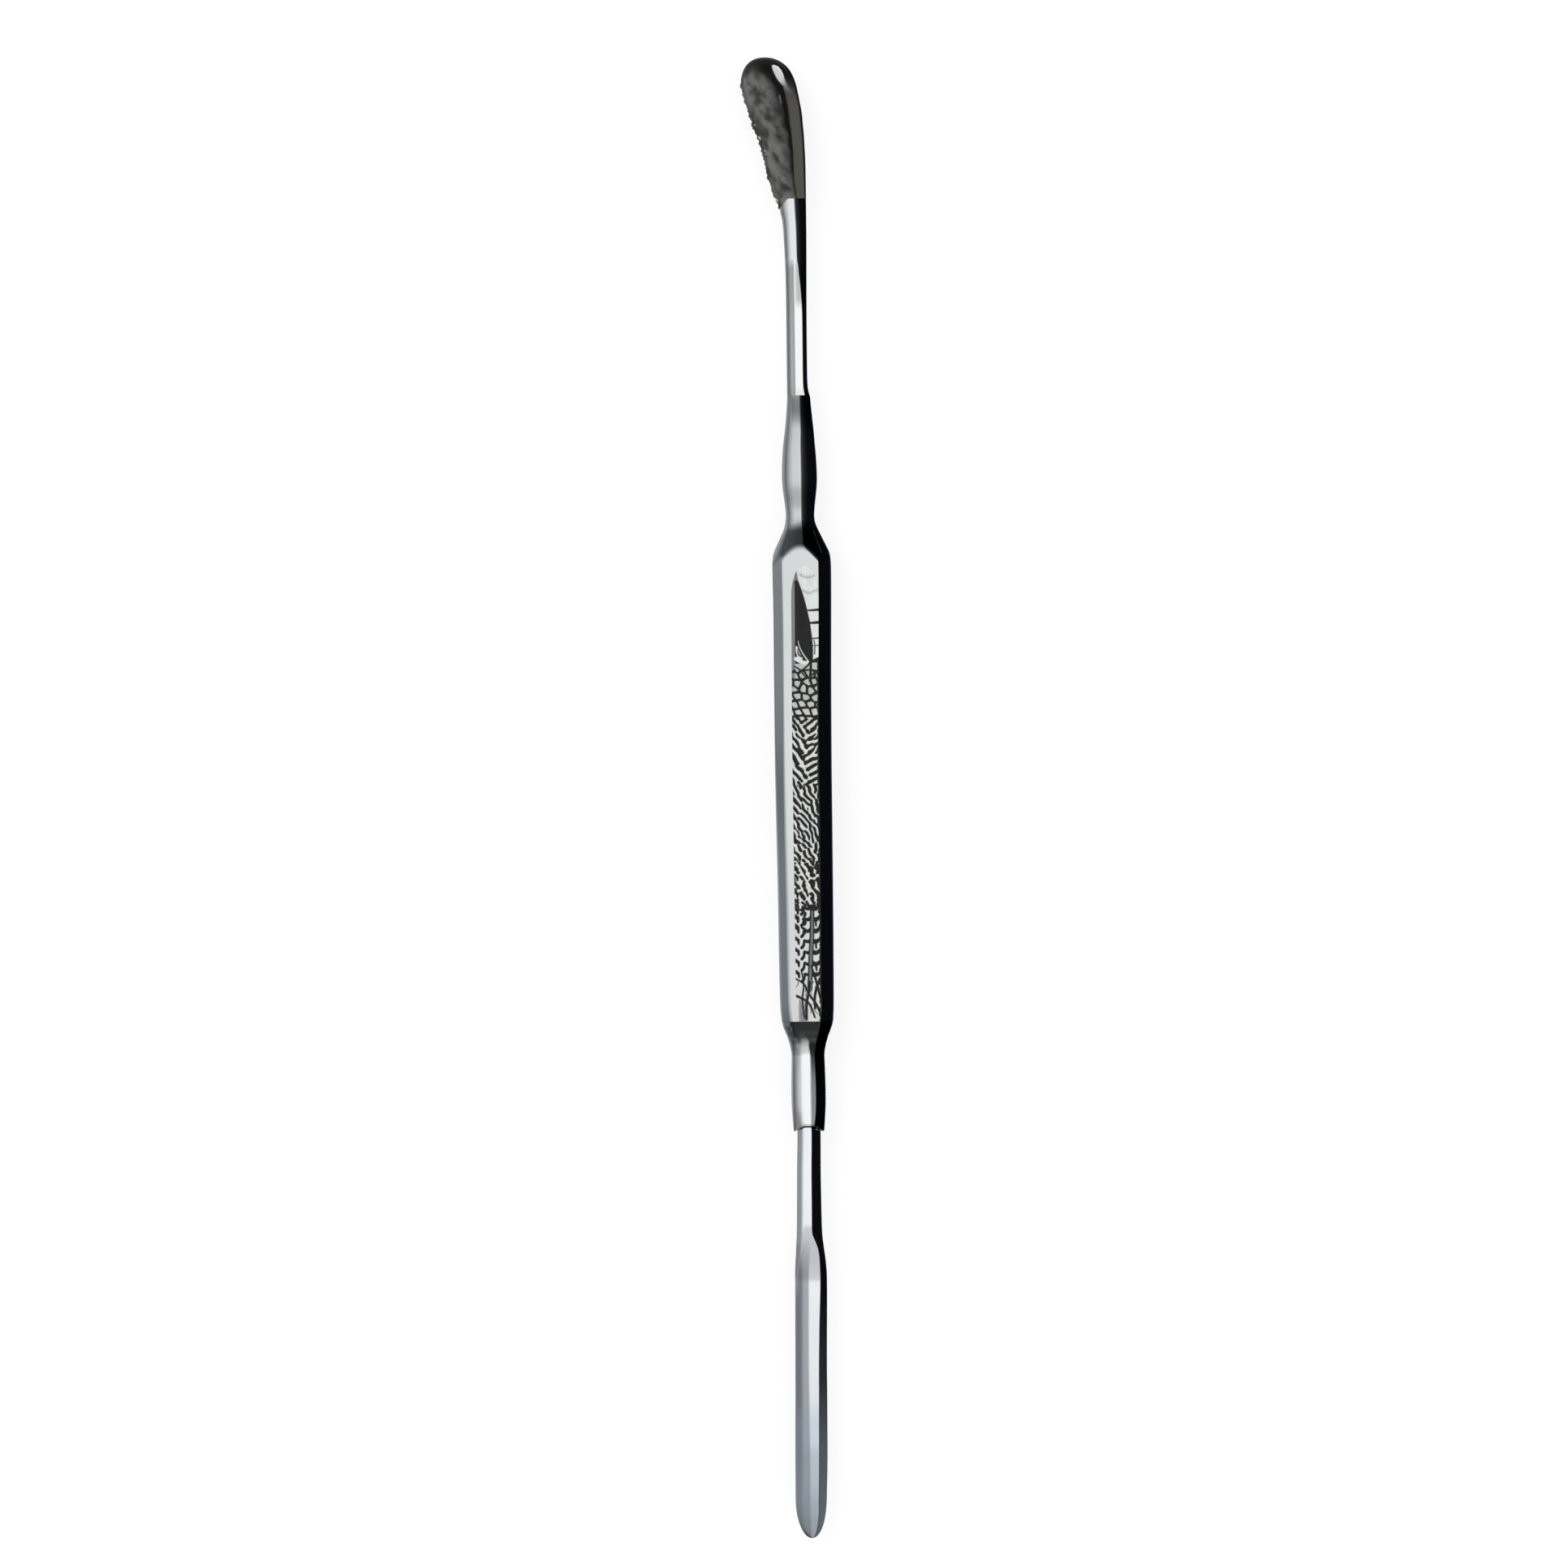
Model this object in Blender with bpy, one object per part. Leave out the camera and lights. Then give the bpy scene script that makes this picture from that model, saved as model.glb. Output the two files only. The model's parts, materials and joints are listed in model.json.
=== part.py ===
"""Double-ended clay modelling tool: rasp head, hollow faceted handle, clamped spatula blade.

The tool lies flat along Y with the rasp head towards +Y and bending towards -X. Lengths are in
millimetres and become metres when a mesh is made. A "distance" is measured from the blade's tip.
"""
import math

import bmesh
import bpy
from mathutils import Vector

MM = 0.001
GAP = 0.3                    # clearance between neighbouring pieces
RING = 32                    # points round every cross-section
CORNER_STEPS = 2             # segments in each rounded corner of an eight-sided section

# Overall size and frame
LENGTH = 200.0
HANDLE_DEPTH = 7.1           # flat to flat, top to underside
AXIS_X = 1.5875              # the handle's axis, off the centre because the head bends to -X
AXIS_Z = HANDLE_DEPTH / 2

# Distances of the main shoulders
BLADE_WIDE = 34.0            # the blade starts to close to its shank
BLADE_END = 42.6             # the blade has become the plain shank
MOUTH = 54.95                # nose cap mouth, at the sides
SHANK_END = 64.3             # hidden step from the shank to the tang
TANG_END = 95.0
CAP_END = 69.75              # nose cap meets the handle
TAIL_END = 77.7              # end of the nose cap's threaded tail
HANDLE_START = CAP_END + GAP
SHOULDER = 132.0             # handle starts to close to the neck
NECK = 137.1                 # end of the handle
FERRULE_START = NECK + GAP
FERRULE_END = 155.1
SHANK_START = FERRULE_END + GAP
HEAD_START = 180.7
HEAD_DOME = 196.0            # the head's round end begins

# Radii and half sizes
BLADE_HALF = 2.19
BLADE_CROWN = 0.8            # half the blade's thickness at its ridge
BLADE_EDGE = 0.22            # half the thickness left at the blade's edges
BLADE_TIP = 6.0              # length of the rounded tip
SHANK_HALF = 1.6
SHANK_DEPTH = 1.45
TANG_HALF = 0.75
TANG_DEPTH = 0.65
TANG_HOLE = TANG_HALF + 0.4  # radius of the round holes the tang turns in
HANDLE_CHAMFER = 1.45
HANDLE_BORE = 2.5
CAP_BORE = 1.9               # clears the blade's shank
TAIL_OUTER = HANDLE_BORE - GAP
TAIL_BORE = 1.8
COLLET_OUTER = TAIL_BORE - 0.35
CORNER_RADIUS = 0.35
MOUTH_NOTCH = 0.95           # how far the mouth is cut back on its front and rear faces
NECK_HALF = 2.1
TANG_ROD = 1.0               # radius of the rasp shank's threaded tang
TANG_BORE = TANG_ROD + GAP
ROD_END = 126.0
SPIGOT = 0.8                 # radius of the rasp shank's spigot inside the head
SPIGOT_END = 186.2
END_WALL = 131.4             # inner end wall of the handle, which the tang nut pulls on
WASHER = 0.5                 # thickness of both washers
NUT_HEIGHT = 2.0
NUT_FLATS = 3.8              # across the hexagon's flats
INLAY_THICKNESS = 0.35
INLAY_LEFT = -0.95
INLAY_MARGIN = 0.2           # plain steel left between an inlay and the facet's edge
INLAY_START = 71.1
INLAY_ROUND = 127.0          # an inlay's round upper end begins
INLAY_END = 131.2
COLLET_START = 66.8
COLLET_END = 81.8
SLOT_START = 71.0            # the cuts between the collet's jaws
SLOT_HALF = 0.15
INSERT_START = TAIL_END + GAP
INSERT_END = 90.0
SPRING_SEAT = 87.9
SPRING_WIRE = 0.15           # radius
SPRING_COIL = 1.2

MIRROR_STEEL = ("mirror_steel", (0.72, 0.74, 0.76), 1.0, 0.06)
BLADE_STEEL = ("blade_steel", (0.66, 0.69, 0.73), 1.0, 0.12)
BLACK_OXIDE = ("black_oxide", (0.02, 0.02, 0.022), 0.6, 0.28)
ETCHED_STEEL = ("etched_steel", (0.45, 0.45, 0.44), 1.0, 0.35)
BRASS = ("brass", (0.78, 0.60, 0.28), 1.0, 0.30)
PLAIN_STEEL = ("plain_steel", (0.50, 0.51, 0.53), 1.0, 0.35)


def material(spec):
    """The Principled material of one finish, made once."""
    name, colour, metallic, roughness = spec
    found = bpy.data.materials.get(name)
    if found:
        return found
    made = bpy.data.materials.new(name)
    made.use_nodes = True
    shader = made.node_tree.nodes["Principled BSDF"]
    shader.inputs["Base Color"].default_value = (*colour, 1.0)
    shader.inputs["Metallic"].default_value = metallic
    shader.inputs["Roughness"].default_value = roughness
    return made


def along(keys, distance):
    """A smooth curve through (distance, value) keys, level beyond the first and last."""
    if distance <= keys[0][0]:
        return keys[0][1]
    if distance >= keys[-1][0]:
        return keys[-1][1]
    k = max(i for i, key in enumerate(keys[:-1]) if key[0] <= distance)

    def slope(i):
        before, after = keys[max(i - 1, 0)], keys[min(i + 1, len(keys) - 1)]
        return (after[1] - before[1]) / (after[0] - before[0])

    (x0, y0), (x1, y1) = keys[k], keys[k + 1]
    span = x1 - x0
    t = (distance - x0) / span
    start = y0 + t * span * slope(k) * (1 - t)
    end = y1 - (1 - t) * span * slope(k + 1) * t
    blend = t * t * (3 - 2 * t)
    return start + (end - start) * blend


def spread(start, end, count):
    """Evenly spaced distances, both ends included."""
    return [start + (end - start) * i / (count - 1) for i in range(count)]


def circle(radius):
    """A round outline, its points in step with those of eight_sided()."""
    angles = [2 * math.pi * (i + 1) / RING for i in range(RING)]
    return [(radius * math.cos(a), radius * math.sin(a)) for a in angles]


def eight_sided(half_w, half_h, chamfer, radius):
    """A rectangle with 45 degree chamfers and rounded corners, with a point mid-way on each flat."""
    diagonal = (half_w + half_h - chamfer) / math.sqrt(2)
    reach = [half_w, diagonal, half_h, diagonal]
    arcs = []
    for k in range(8):
        start, end = math.radians(45 * k), math.radians(45 * (k + 1))
        r0, r1 = reach[k % 4] - radius, reach[(k + 1) % 4] - radius
        turn = math.sin(end - start)
        x = (r0 * math.sin(end) - r1 * math.sin(start)) / turn
        z = (r1 * math.cos(start) - r0 * math.cos(end)) / turn
        steps = [start + (end - start) * s / CORNER_STEPS for s in range(CORNER_STEPS + 1)]
        arcs.append([(x + radius * math.cos(a), z + radius * math.sin(a)) for a in steps])
    outline = []
    for arc, following in zip(arcs, arcs[1:] + arcs[:1]):
        middle = [(a + b) / 2 for a, b in zip(arc[-1], following[0])]
        outline += arc + [tuple(middle)]
    return outline


def turned(outline, radius):
    """The outline after turning it down to a radius, as on a lathe."""
    return [(x * min(1, radius / math.hypot(x, z)), z * min(1, radius / math.hypot(x, z)))
            for x, z in outline]


def ring(distance, outline, centre=0.0, rim=None):
    """The outline placed across the tool's axis; rim(x, z) shifts each point along the axis."""
    points = []
    for x, z in outline:
        shift = rim(x + centre, z) if rim else 0.0
        y = distance + shift - LENGTH / 2
        points.append(Vector((AXIS_X + centre + x, y, AXIS_Z + z)) * MM)
    return points


def skin(name, rings, finish, loop=False):
    """One closed body through the rings: capped at both ends, or a tube if loop is set."""
    mesh = bpy.data.meshes.new(name)
    bm = bmesh.new()
    rows = [[bm.verts.new(point) for point in points] for points in rings]
    pairs = list(zip(rows, rows[1:] + rows[:1])) if loop else list(zip(rows, rows[1:]))
    for near, far in pairs:
        count = len(near)
        for i in range(count):
            j = (i + 1) % count
            bm.faces.new((near[i], near[j], far[j], far[i]))
    if not loop:
        bm.faces.new(list(reversed(rows[0])))
        bm.faces.new(rows[-1])
    bmesh.ops.remove_doubles(bm, verts=bm.verts, dist=1e-7)
    bmesh.ops.recalc_face_normals(bm, faces=bm.faces)
    bm.to_mesh(mesh)
    bm.free()
    mesh.shade_smooth()
    mesh.set_sharp_from_angle(angle=math.radians(30))
    mesh.materials.append(material(finish))
    piece = bpy.data.objects.new(name, mesh)
    bpy.context.scene.collection.objects.link(piece)
    return piece


def tube(name, outer, inner, finish):
    """A hollow body: outer rings from one end to the other, and inner rings the same way."""
    return skin(name, outer + list(reversed(inner)), finish, loop=True)


def cut(piece, cutter):
    """Take the cutter's shape out of the piece."""
    cutter.hide_render = True
    cutter.display_type = "WIRE"
    modifier = piece.modifiers.new("cut", "BOOLEAN")
    modifier.object = cutter
    modifier.solver = "EXACT"


# ---------------------------------------------------------------- blade end


def blade_half(distance):
    """Half the blade's width: a rounded tip, parallel sides, then in to the shank."""
    if distance < BLADE_TIP:
        return BLADE_HALF * math.sqrt(1 - (1 - distance / BLADE_TIP) ** 2.5)
    return along([(35.0, BLADE_HALF), (38.2, 2.03), (40.4, 1.8), (BLADE_END, SHANK_HALF)], distance)


def blade_outline(distance):
    """A long front plane left of the ridge, a flat one right of it and a bevel at the right edge."""
    half = blade_half(distance)
    crown = along([(0.0, 0.38), (3.0, 0.6), (12.0, BLADE_CROWN), (BLADE_END, BLADE_CROWN)], distance)
    edge = BLADE_EDGE * crown / BLADE_CROWN
    ridge, bevel = -0.14, 0.48
    points = []
    for i in range(RING):
        angle = 2 * math.pi * (i + 1) / RING
        u = math.cos(angle)
        left = edge + (crown - edge) * (u + 1) / (ridge + 1)
        right = edge + (0.92 * crown - edge) * (1 - u) / (1 - bevel)
        middle = crown - 0.08 * crown * (u - ridge) / (bevel - ridge)
        height = min(left, middle, right)
        side = math.sin(angle)
        points.append((u * half, 0.0 if abs(side) < 1e-9 else math.copysign(height, side)))
    return points


def blade_section(distance):
    """The blade's outline, changing into the eight-sided shank."""
    shank = eight_sided(SHANK_HALF, SHANK_DEPTH, 0.85, CORNER_RADIUS)
    if distance >= BLADE_END:
        return shank
    t = along([(BLADE_WIDE, 0.0), (BLADE_END, 1.0)], distance)
    return [(bx + (sx - bx) * t, bz + (sz - bz) * t)
            for (bx, bz), (sx, sz) in zip(blade_outline(distance), shank)]


def spatula_blade():
    """Blade, shank and the keyed tang that the collet grips."""
    distances = [0.03, 0.3, 0.9, 1.8, 3.0, 4.5] + spread(BLADE_TIP, BLADE_WIDE, 5)
    distances += spread(35.4, BLADE_END, 6) + [SHANK_END]
    rings = [ring(d, blade_section(d)) for d in distances]
    tang = eight_sided(TANG_HALF, TANG_DEPTH, 0.4, 0.12)
    rings += [ring(SHANK_END, tang), ring(TANG_END, tang)]
    return skin("spatula_blade", rings, BLADE_STEEL)


def cap_half(distance):
    """Half the nose cap's width: a barrelled collar, then a flared cone up to the handle."""
    return along([(MOUTH, 2.2), (57.5, 2.33), (60.7, 2.34), (65.0, 2.3), (66.5, 2.45), (67.4, 2.72),
                  (68.9, 3.22), (CAP_END, 3.45)], distance)


def cap_section(distance):
    half = cap_half(distance)
    chamfer = along([(MOUTH, 0.8), (65.0, 0.9), (CAP_END, 1.4)], distance)
    return eight_sided(half, half * 0.995, chamfer, CORNER_RADIUS)


def mouth_rim(x, z):
    """The mouth is cut back in the middle of its front and rear faces."""
    return MOUTH_NOTCH * min(1.0, abs(z) / 2.1) ** 2


def nose_cap():
    """Chuck cap: collar and cone outside, a hidden lip that pushes the collet, a threaded tail."""
    lip = (SHANK_END + 0.4, SHANK_END + 1.4)
    outer = [ring(MOUTH, cap_section(MOUTH), rim=mouth_rim)]
    outer += [ring(d, cap_section(d)) for d in [57.5, 60.7, 63.5, 65.0, 66.0, 66.8, 67.6, 68.6, CAP_END]]
    outer += [ring(d, circle(TAIL_OUTER)) for d in (CAP_END, TAIL_END)]
    inner = [ring(MOUTH, circle(CAP_BORE), rim=mouth_rim), ring(lip[0], circle(CAP_BORE))]
    inner += [ring(d, circle(TANG_HOLE)) for d in lip]
    inner += [ring(d, circle(TAIL_BORE)) for d in (lip[1], TAIL_END)]
    return tube("nose_cap", outer, inner, MIRROR_STEEL)


def thrust_washer():
    """Brass washer between the cap's lip and the collet, so the collet doesn't twist."""
    faces = (COLLET_START - GAP - WASHER, COLLET_START - GAP)
    outer = [ring(d, circle(COLLET_OUTER)) for d in faces]
    inner = [ring(d, circle(TANG_HOLE)) for d in faces]
    return tube("thrust_washer", outer, inner, BRASS)


def collet():
    """Four-jawed collet with a keyed bore; its tapered rear end closes in the chuck insert."""
    profile = [(COLLET_START, COLLET_OUTER), (77.9, COLLET_OUTER), (78.3, 1.6), (COLLET_END, 1.3)]
    outer = [ring(d, circle(radius)) for d, radius in profile]
    bore = eight_sided(TANG_HALF + GAP, TANG_DEPTH + GAP, 0.5, 0.15)
    inner = [ring(d, bore) for d in (COLLET_START, COLLET_END)]
    piece = tube("collet", outer, inner, BRASS)
    reach = COLLET_OUTER + 1
    for name, half_x, half_z in (("slot_a", SLOT_HALF, reach), ("slot_b", reach, SLOT_HALF)):
        bar = [(half_x, half_z), (-half_x, half_z), (-half_x, -half_z), (half_x, -half_z)]
        slot = skin(name, [ring(d, bar) for d in (SLOT_START, COLLET_END + 1)], BRASS)
        cut(piece, slot)
    return piece


def chuck_insert():
    """Sleeve pressed into the handle: a taper that closes the collet, and the spring's seat."""
    outer = [ring(d, circle(HANDLE_BORE - GAP)) for d in (INSERT_START, INSERT_END)]
    profile = [(INSERT_START, 1.95), (82.1, 1.65), (SPRING_SEAT, 1.65)]
    profile += [(SPRING_SEAT, TANG_HALF + GAP), (INSERT_END, TANG_HALF + GAP)]
    inner = [ring(d, circle(radius)) for d, radius in profile]
    return tube("chuck_insert", outer, inner, PLAIN_STEEL)


def collet_spring():
    """Coil spring behind the collet that opens it when the cap is backed off."""
    turns, steps, sides = 6, 12, 6
    start, end = COLLET_END + GAP + SPRING_WIRE, SPRING_SEAT - GAP - SPRING_WIRE
    rings = []
    for k in range(turns * steps + 1):
        turn = 2 * math.pi * k / steps
        y = start + (end - start) * k / (turns * steps) - LENGTH / 2
        out = Vector((math.cos(turn), 0, math.sin(turn)))
        centre = Vector((AXIS_X, y, AXIS_Z)) + out * SPRING_COIL
        section = []
        for s in range(sides):
            a = 2 * math.pi * s / sides
            wire = out * math.cos(a) + Vector((0, 1, 0)) * math.sin(a)
            section.append((centre + wire * SPRING_WIRE) * MM)
        rings.append(section)
    return skin("collet_spring", rings, PLAIN_STEEL)


# ---------------------------------------------------------------- handle


def handle_half(distance):
    """Half the handle's width: a slow taper from the shoulder down to the nose cap."""
    return along([(HANDLE_START, 3.5), (72.0, 3.58), (86.5, 3.7), (99.0, 3.8), (124.0, 3.9),
                  (130.0, 3.94), (NECK, 3.94)], distance)


def shoulder_radius(distance):
    """Radius of the turned shoulder that closes the handle to its neck."""
    return along([(SHOULDER, 4.6), (133.6, 3.6), (134.7, 3.03), (135.8, 2.62), (NECK, NECK_HALF)],
                 distance)


def handle_section(distance):
    flats = eight_sided(handle_half(distance), HANDLE_DEPTH / 2, HANDLE_CHAMFER, CORNER_RADIUS)
    if distance < SHOULDER:
        return flats
    return turned(flats, shoulder_radius(distance))


def inlay_outline(offset):
    """A long panel with square lower corners and a round upper end, grown by offset."""
    right = [(d, handle_half(d) - HANDLE_CHAMFER - INLAY_MARGIN) for d in spread(INLAY_START, INLAY_ROUND, 5)]
    left = INLAY_LEFT - offset
    points = [(left, INLAY_START - offset)]
    points += [(x + offset, d if i else d - offset) for i, (d, x) in enumerate(right)]
    half = (right[-1][1] - INLAY_LEFT) / 2
    middle = right[-1][1] - half
    rise = INLAY_END - right[-1][0]
    for k in range(1, 12):
        a = math.pi * k / 12
        across = (half + offset) * math.cos(a)
        points.append((middle + across, INLAY_ROUND + (rise + offset) * math.sin(a)))
    return points + [(left, INLAY_ROUND)]


def panel(name, low, high, side, offset, finish):
    """The inlay outline as a plate between two heights over the axis, on the front or the rear."""
    rings = []
    for height in (low, high):
        rings.append([Vector((AXIS_X + side * x, d - LENGTH / 2, AXIS_Z + side * height)) * MM
                      for x, d in inlay_outline(offset)])
    return skin(name, rings, finish)


def handle_tube():
    """Hollow eight-sided handle with a turned shoulder and a pocket in its front and rear faces."""
    distances = [HANDLE_START, 72.0, 86.5, 99.0, 124.0, SHOULDER]
    distances += [132.8, 133.4, 134.0, 134.7, 135.4, 136.2, NECK]
    outer = [ring(d, handle_section(d)) for d in distances]
    inner = [ring(d, circle(HANDLE_BORE)) for d in (HANDLE_START, END_WALL)]
    inner += [ring(d, circle(TANG_BORE)) for d in (END_WALL, NECK)]
    piece = tube("handle_tube", outer, inner, MIRROR_STEEL)
    surface = HANDLE_DEPTH / 2
    for name, side in (("pocket_front", 1), ("pocket_rear", -1)):
        floor = surface - INLAY_THICKNESS - GAP
        cut(piece, panel(name, floor, surface + 1, side, GAP, MIRROR_STEEL))
    return piece


def grip_inlay(name, side):
    surface = HANDLE_DEPTH / 2
    return panel(name, surface - INLAY_THICKNESS, surface, side, 0.0, ETCHED_STEEL)


# ---------------------------------------------------------------- rasp end


def upper_ferrule():
    """Turned baluster that the rasp shank passes through."""
    keys = [(FERRULE_START, NECK_HALF - 0.02), (138.6, 2.08), (141.3, 2.36), (143.2, 2.42),
            (145.6, 2.36), (150.0, 1.98), (153.5, 1.7), (FERRULE_END, 1.6)]
    outer = [ring(d, circle(along(keys, d))) for d in spread(FERRULE_START, FERRULE_END, 13)]
    inner = [ring(d, circle(TANG_BORE)) for d in (FERRULE_START, FERRULE_END)]
    return tube("upper_ferrule", outer, inner, MIRROR_STEEL)


def head_rim(x, z):
    """The head's lower edge runs straight across, then slants down its cutting side."""
    return -1.5 * max(0.0, -0.9 - x)


def spigot_centre(distance):
    """The spigot leans with the head."""
    return -0.35 - 0.19 * (distance - HEAD_START)


def rasp_shank():
    """Shank with a spigot for the head above and a threaded tang below."""
    half = [(SHANK_START, 1.52), (160.0, 1.48), (168.0, 1.5), (175.0, 1.56), (178.4, 1.66),
            (HEAD_START, 2.0)]
    lean = [(176.5, 0.0), (178.4, -0.12), (HEAD_START, -0.5)]
    rings = [ring(d, circle(TANG_ROD)) for d in (ROD_END, SHANK_START)]
    for d in [SHANK_START, 160.0, 168.0, 173.0, 176.5, 178.0, HEAD_START - GAP]:
        w = along(half, d)
        rim = head_rim if d > 178.0 else None
        section = eight_sided(w, w * 0.93, w * 0.6, w * 0.6)
        rings.append(ring(d, section, centre=along(lean, d), rim=rim))
    spigot = circle(SPIGOT)
    rings.append(ring(HEAD_START - GAP, spigot, centre=spigot_centre(HEAD_START), rim=head_rim))
    rings.append(ring(SPIGOT_END, spigot, centre=spigot_centre(SPIGOT_END)))
    return skin("rasp_shank", rings, MIRROR_STEEL)


def head_size(distance):
    """Centre, half width and half depth of the head at one distance."""
    dome = HEAD_DOME
    centre = along([(HEAD_START, -0.5), (182.9, -1.0), (187.3, -1.58), (191.7, -2.35),
                    (dome, -3.33), (198.3, -3.74), (LENGTH, -3.84)], distance)
    half = along([(HEAD_START, 2.0), (182.9, 2.45), (187.3, 2.96), (191.7, 3.44), (dome, 3.72),
                  (LENGTH, 3.72)], distance)
    depth = along([(HEAD_START, 1.85), (187.3, 2.5), (191.7, 2.75), (dome, 2.8), (LENGTH, 2.8)], distance)
    closing = math.sqrt(max(0.0, 1 - ((distance - dome) / (LENGTH - dome)) ** 2)) if distance > dome else 1.0
    return centre, half * closing, depth * closing


def rasp_head():
    """Bent rasp head with a round end and a blind socket for the shank's spigot."""
    socket, depth = circle(SPIGOT + GAP), SPIGOT_END + GAP
    rings = [ring(depth, socket, centre=spigot_centre(depth)),
             ring(HEAD_START, socket, centre=spigot_centre(HEAD_START), rim=head_rim)]
    distances = spread(HEAD_START, HEAD_DOME, 8) + [197.3, 198.3, 199.1, 199.7, 199.98]
    for d in distances:
        centre, half, half_depth = head_size(d)
        section = [(x * half, z * half_depth) for x, z in circle(1.0)]
        rings.append(ring(d, section, centre=centre, rim=head_rim if d == HEAD_START else None))
    return skin("rasp_head", rings, BLACK_OXIDE)


def tang_washer():
    """Washer between the tang nut and the handle's end wall."""
    faces = (END_WALL - GAP - WASHER, END_WALL - GAP)
    outer = [ring(d, circle(HANDLE_BORE - 0.4)) for d in faces]
    inner = [ring(d, circle(TANG_BORE)) for d in faces]
    return tube("tang_washer", outer, inner, PLAIN_STEEL)


def tang_nut():
    """Hexagon nut that draws the rasp shank's tang tight from inside the handle."""
    top = END_WALL - 2 * GAP - WASHER
    hexagon = []
    for x, z in circle(1.0):
        off_flat = (math.atan2(z, x) + math.pi / 6) % (math.pi / 3) - math.pi / 6
        reach = NUT_FLATS / 2 / math.cos(off_flat)
        hexagon.append((x * reach, z * reach))
    outer = [ring(d, hexagon) for d in (top - NUT_HEIGHT, top)]
    inner = [ring(d, circle(TANG_BORE)) for d in (top - NUT_HEIGHT, top)]
    return tube("tang_nut", outer, inner, PLAIN_STEEL)


def main():
    for old in list(bpy.data.objects):
        bpy.data.objects.remove(old)
    spatula_blade()
    nose_cap()
    thrust_washer()
    collet()
    chuck_insert()
    collet_spring()
    handle_tube()
    grip_inlay("grip_inlay_front", 1)
    grip_inlay("grip_inlay_rear", -1)
    upper_ferrule()
    rasp_shank()
    rasp_head()
    tang_washer()
    tang_nut()


main()
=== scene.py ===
"""Looks of the double-ended clay modelling tool: fine surfaces, etched inlays, finishes and a studio.

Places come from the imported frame. Lengths are in millimetres and become metres when a mesh is made.
d is the distance along the tool from the blade's tip; x runs across it and z up, both from its axis.
"""
import json
import math

import bmesh
import bpy
import numpy as np
from mathutils import Matrix, Quaternion, Vector

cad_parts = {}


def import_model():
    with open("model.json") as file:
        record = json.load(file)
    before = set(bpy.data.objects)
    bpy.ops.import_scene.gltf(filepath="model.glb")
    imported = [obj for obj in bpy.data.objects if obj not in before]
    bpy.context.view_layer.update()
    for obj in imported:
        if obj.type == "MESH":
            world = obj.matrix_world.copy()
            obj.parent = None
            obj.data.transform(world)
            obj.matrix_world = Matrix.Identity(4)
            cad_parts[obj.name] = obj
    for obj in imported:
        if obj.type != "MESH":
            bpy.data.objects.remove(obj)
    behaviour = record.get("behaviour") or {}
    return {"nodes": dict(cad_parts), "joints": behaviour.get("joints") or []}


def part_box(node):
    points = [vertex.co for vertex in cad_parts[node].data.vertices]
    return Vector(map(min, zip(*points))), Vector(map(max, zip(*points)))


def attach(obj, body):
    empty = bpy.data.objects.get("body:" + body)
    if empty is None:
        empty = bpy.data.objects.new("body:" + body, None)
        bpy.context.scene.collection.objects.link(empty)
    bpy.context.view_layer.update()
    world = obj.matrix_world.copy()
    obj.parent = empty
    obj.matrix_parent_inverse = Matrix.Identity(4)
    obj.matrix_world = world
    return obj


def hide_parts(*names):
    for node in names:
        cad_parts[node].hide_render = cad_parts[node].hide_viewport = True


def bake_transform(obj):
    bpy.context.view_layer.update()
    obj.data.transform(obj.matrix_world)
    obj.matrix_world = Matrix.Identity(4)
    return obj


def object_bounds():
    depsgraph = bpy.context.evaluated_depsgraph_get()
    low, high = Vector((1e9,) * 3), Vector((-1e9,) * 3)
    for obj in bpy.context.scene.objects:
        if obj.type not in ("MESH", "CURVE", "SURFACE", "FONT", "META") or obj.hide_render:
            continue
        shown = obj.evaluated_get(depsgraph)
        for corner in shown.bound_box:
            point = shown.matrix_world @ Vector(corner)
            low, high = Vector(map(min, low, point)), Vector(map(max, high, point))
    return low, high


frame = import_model()

MM = 0.001
CAD_LOW, CAD_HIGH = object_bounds()
AXIS = Vector(next(j for j in frame["joints"] if j["name"] == "cap_turn")["pos_m"])
FRONT = (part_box("handle_tube")[1].z - AXIS.z) / MM     # the handle's front face, over the axis


def edge(node, end):
    """Distance of a CAD node's lower (0) or upper (1) end."""
    return (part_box(node)[end].y - CAD_LOW.y) / MM


def between(lower, upper):
    """Distance of the seam in the middle of the gap between two CAD nodes."""
    return (edge(lower, 1) + edge(upper, 0)) / 2


HAIR = 0.004                                   # half of a closed seam
CAD_HALF_GAP = 0.15
MOUTH = edge("nose_cap", 0)
CAP_SEAM = edge("handle_tube", 0) - CAD_HALF_GAP
TAIL_END = edge("nose_cap", 1)
NECK = between("handle_tube", "upper_ferrule")
FERRULE_TOP = edge("upper_ferrule", 1) - 0.9   # below the CAD's, so that the shank's flat runs lower
TANG_END = edge("spatula_blade", 1)
INLAY_START = CAP_SEAM + 0.03
INLAY_END = edge("grip_inlay_front", 1)
ROD_END = edge("rasp_shank", 0)
HEAD_START = 180.7
HEAD_END = edge("rasp_head", 1)

HANDLE_CHAMFER = 1.45
INLAY_LEFT = -1.3
INLAY_MARGIN = 0.03
INLAY_ROUND = 127                              # the inlay's round end starts here
INLAY_THICKNESS = 0.35


# ---- curves and outlines


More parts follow.
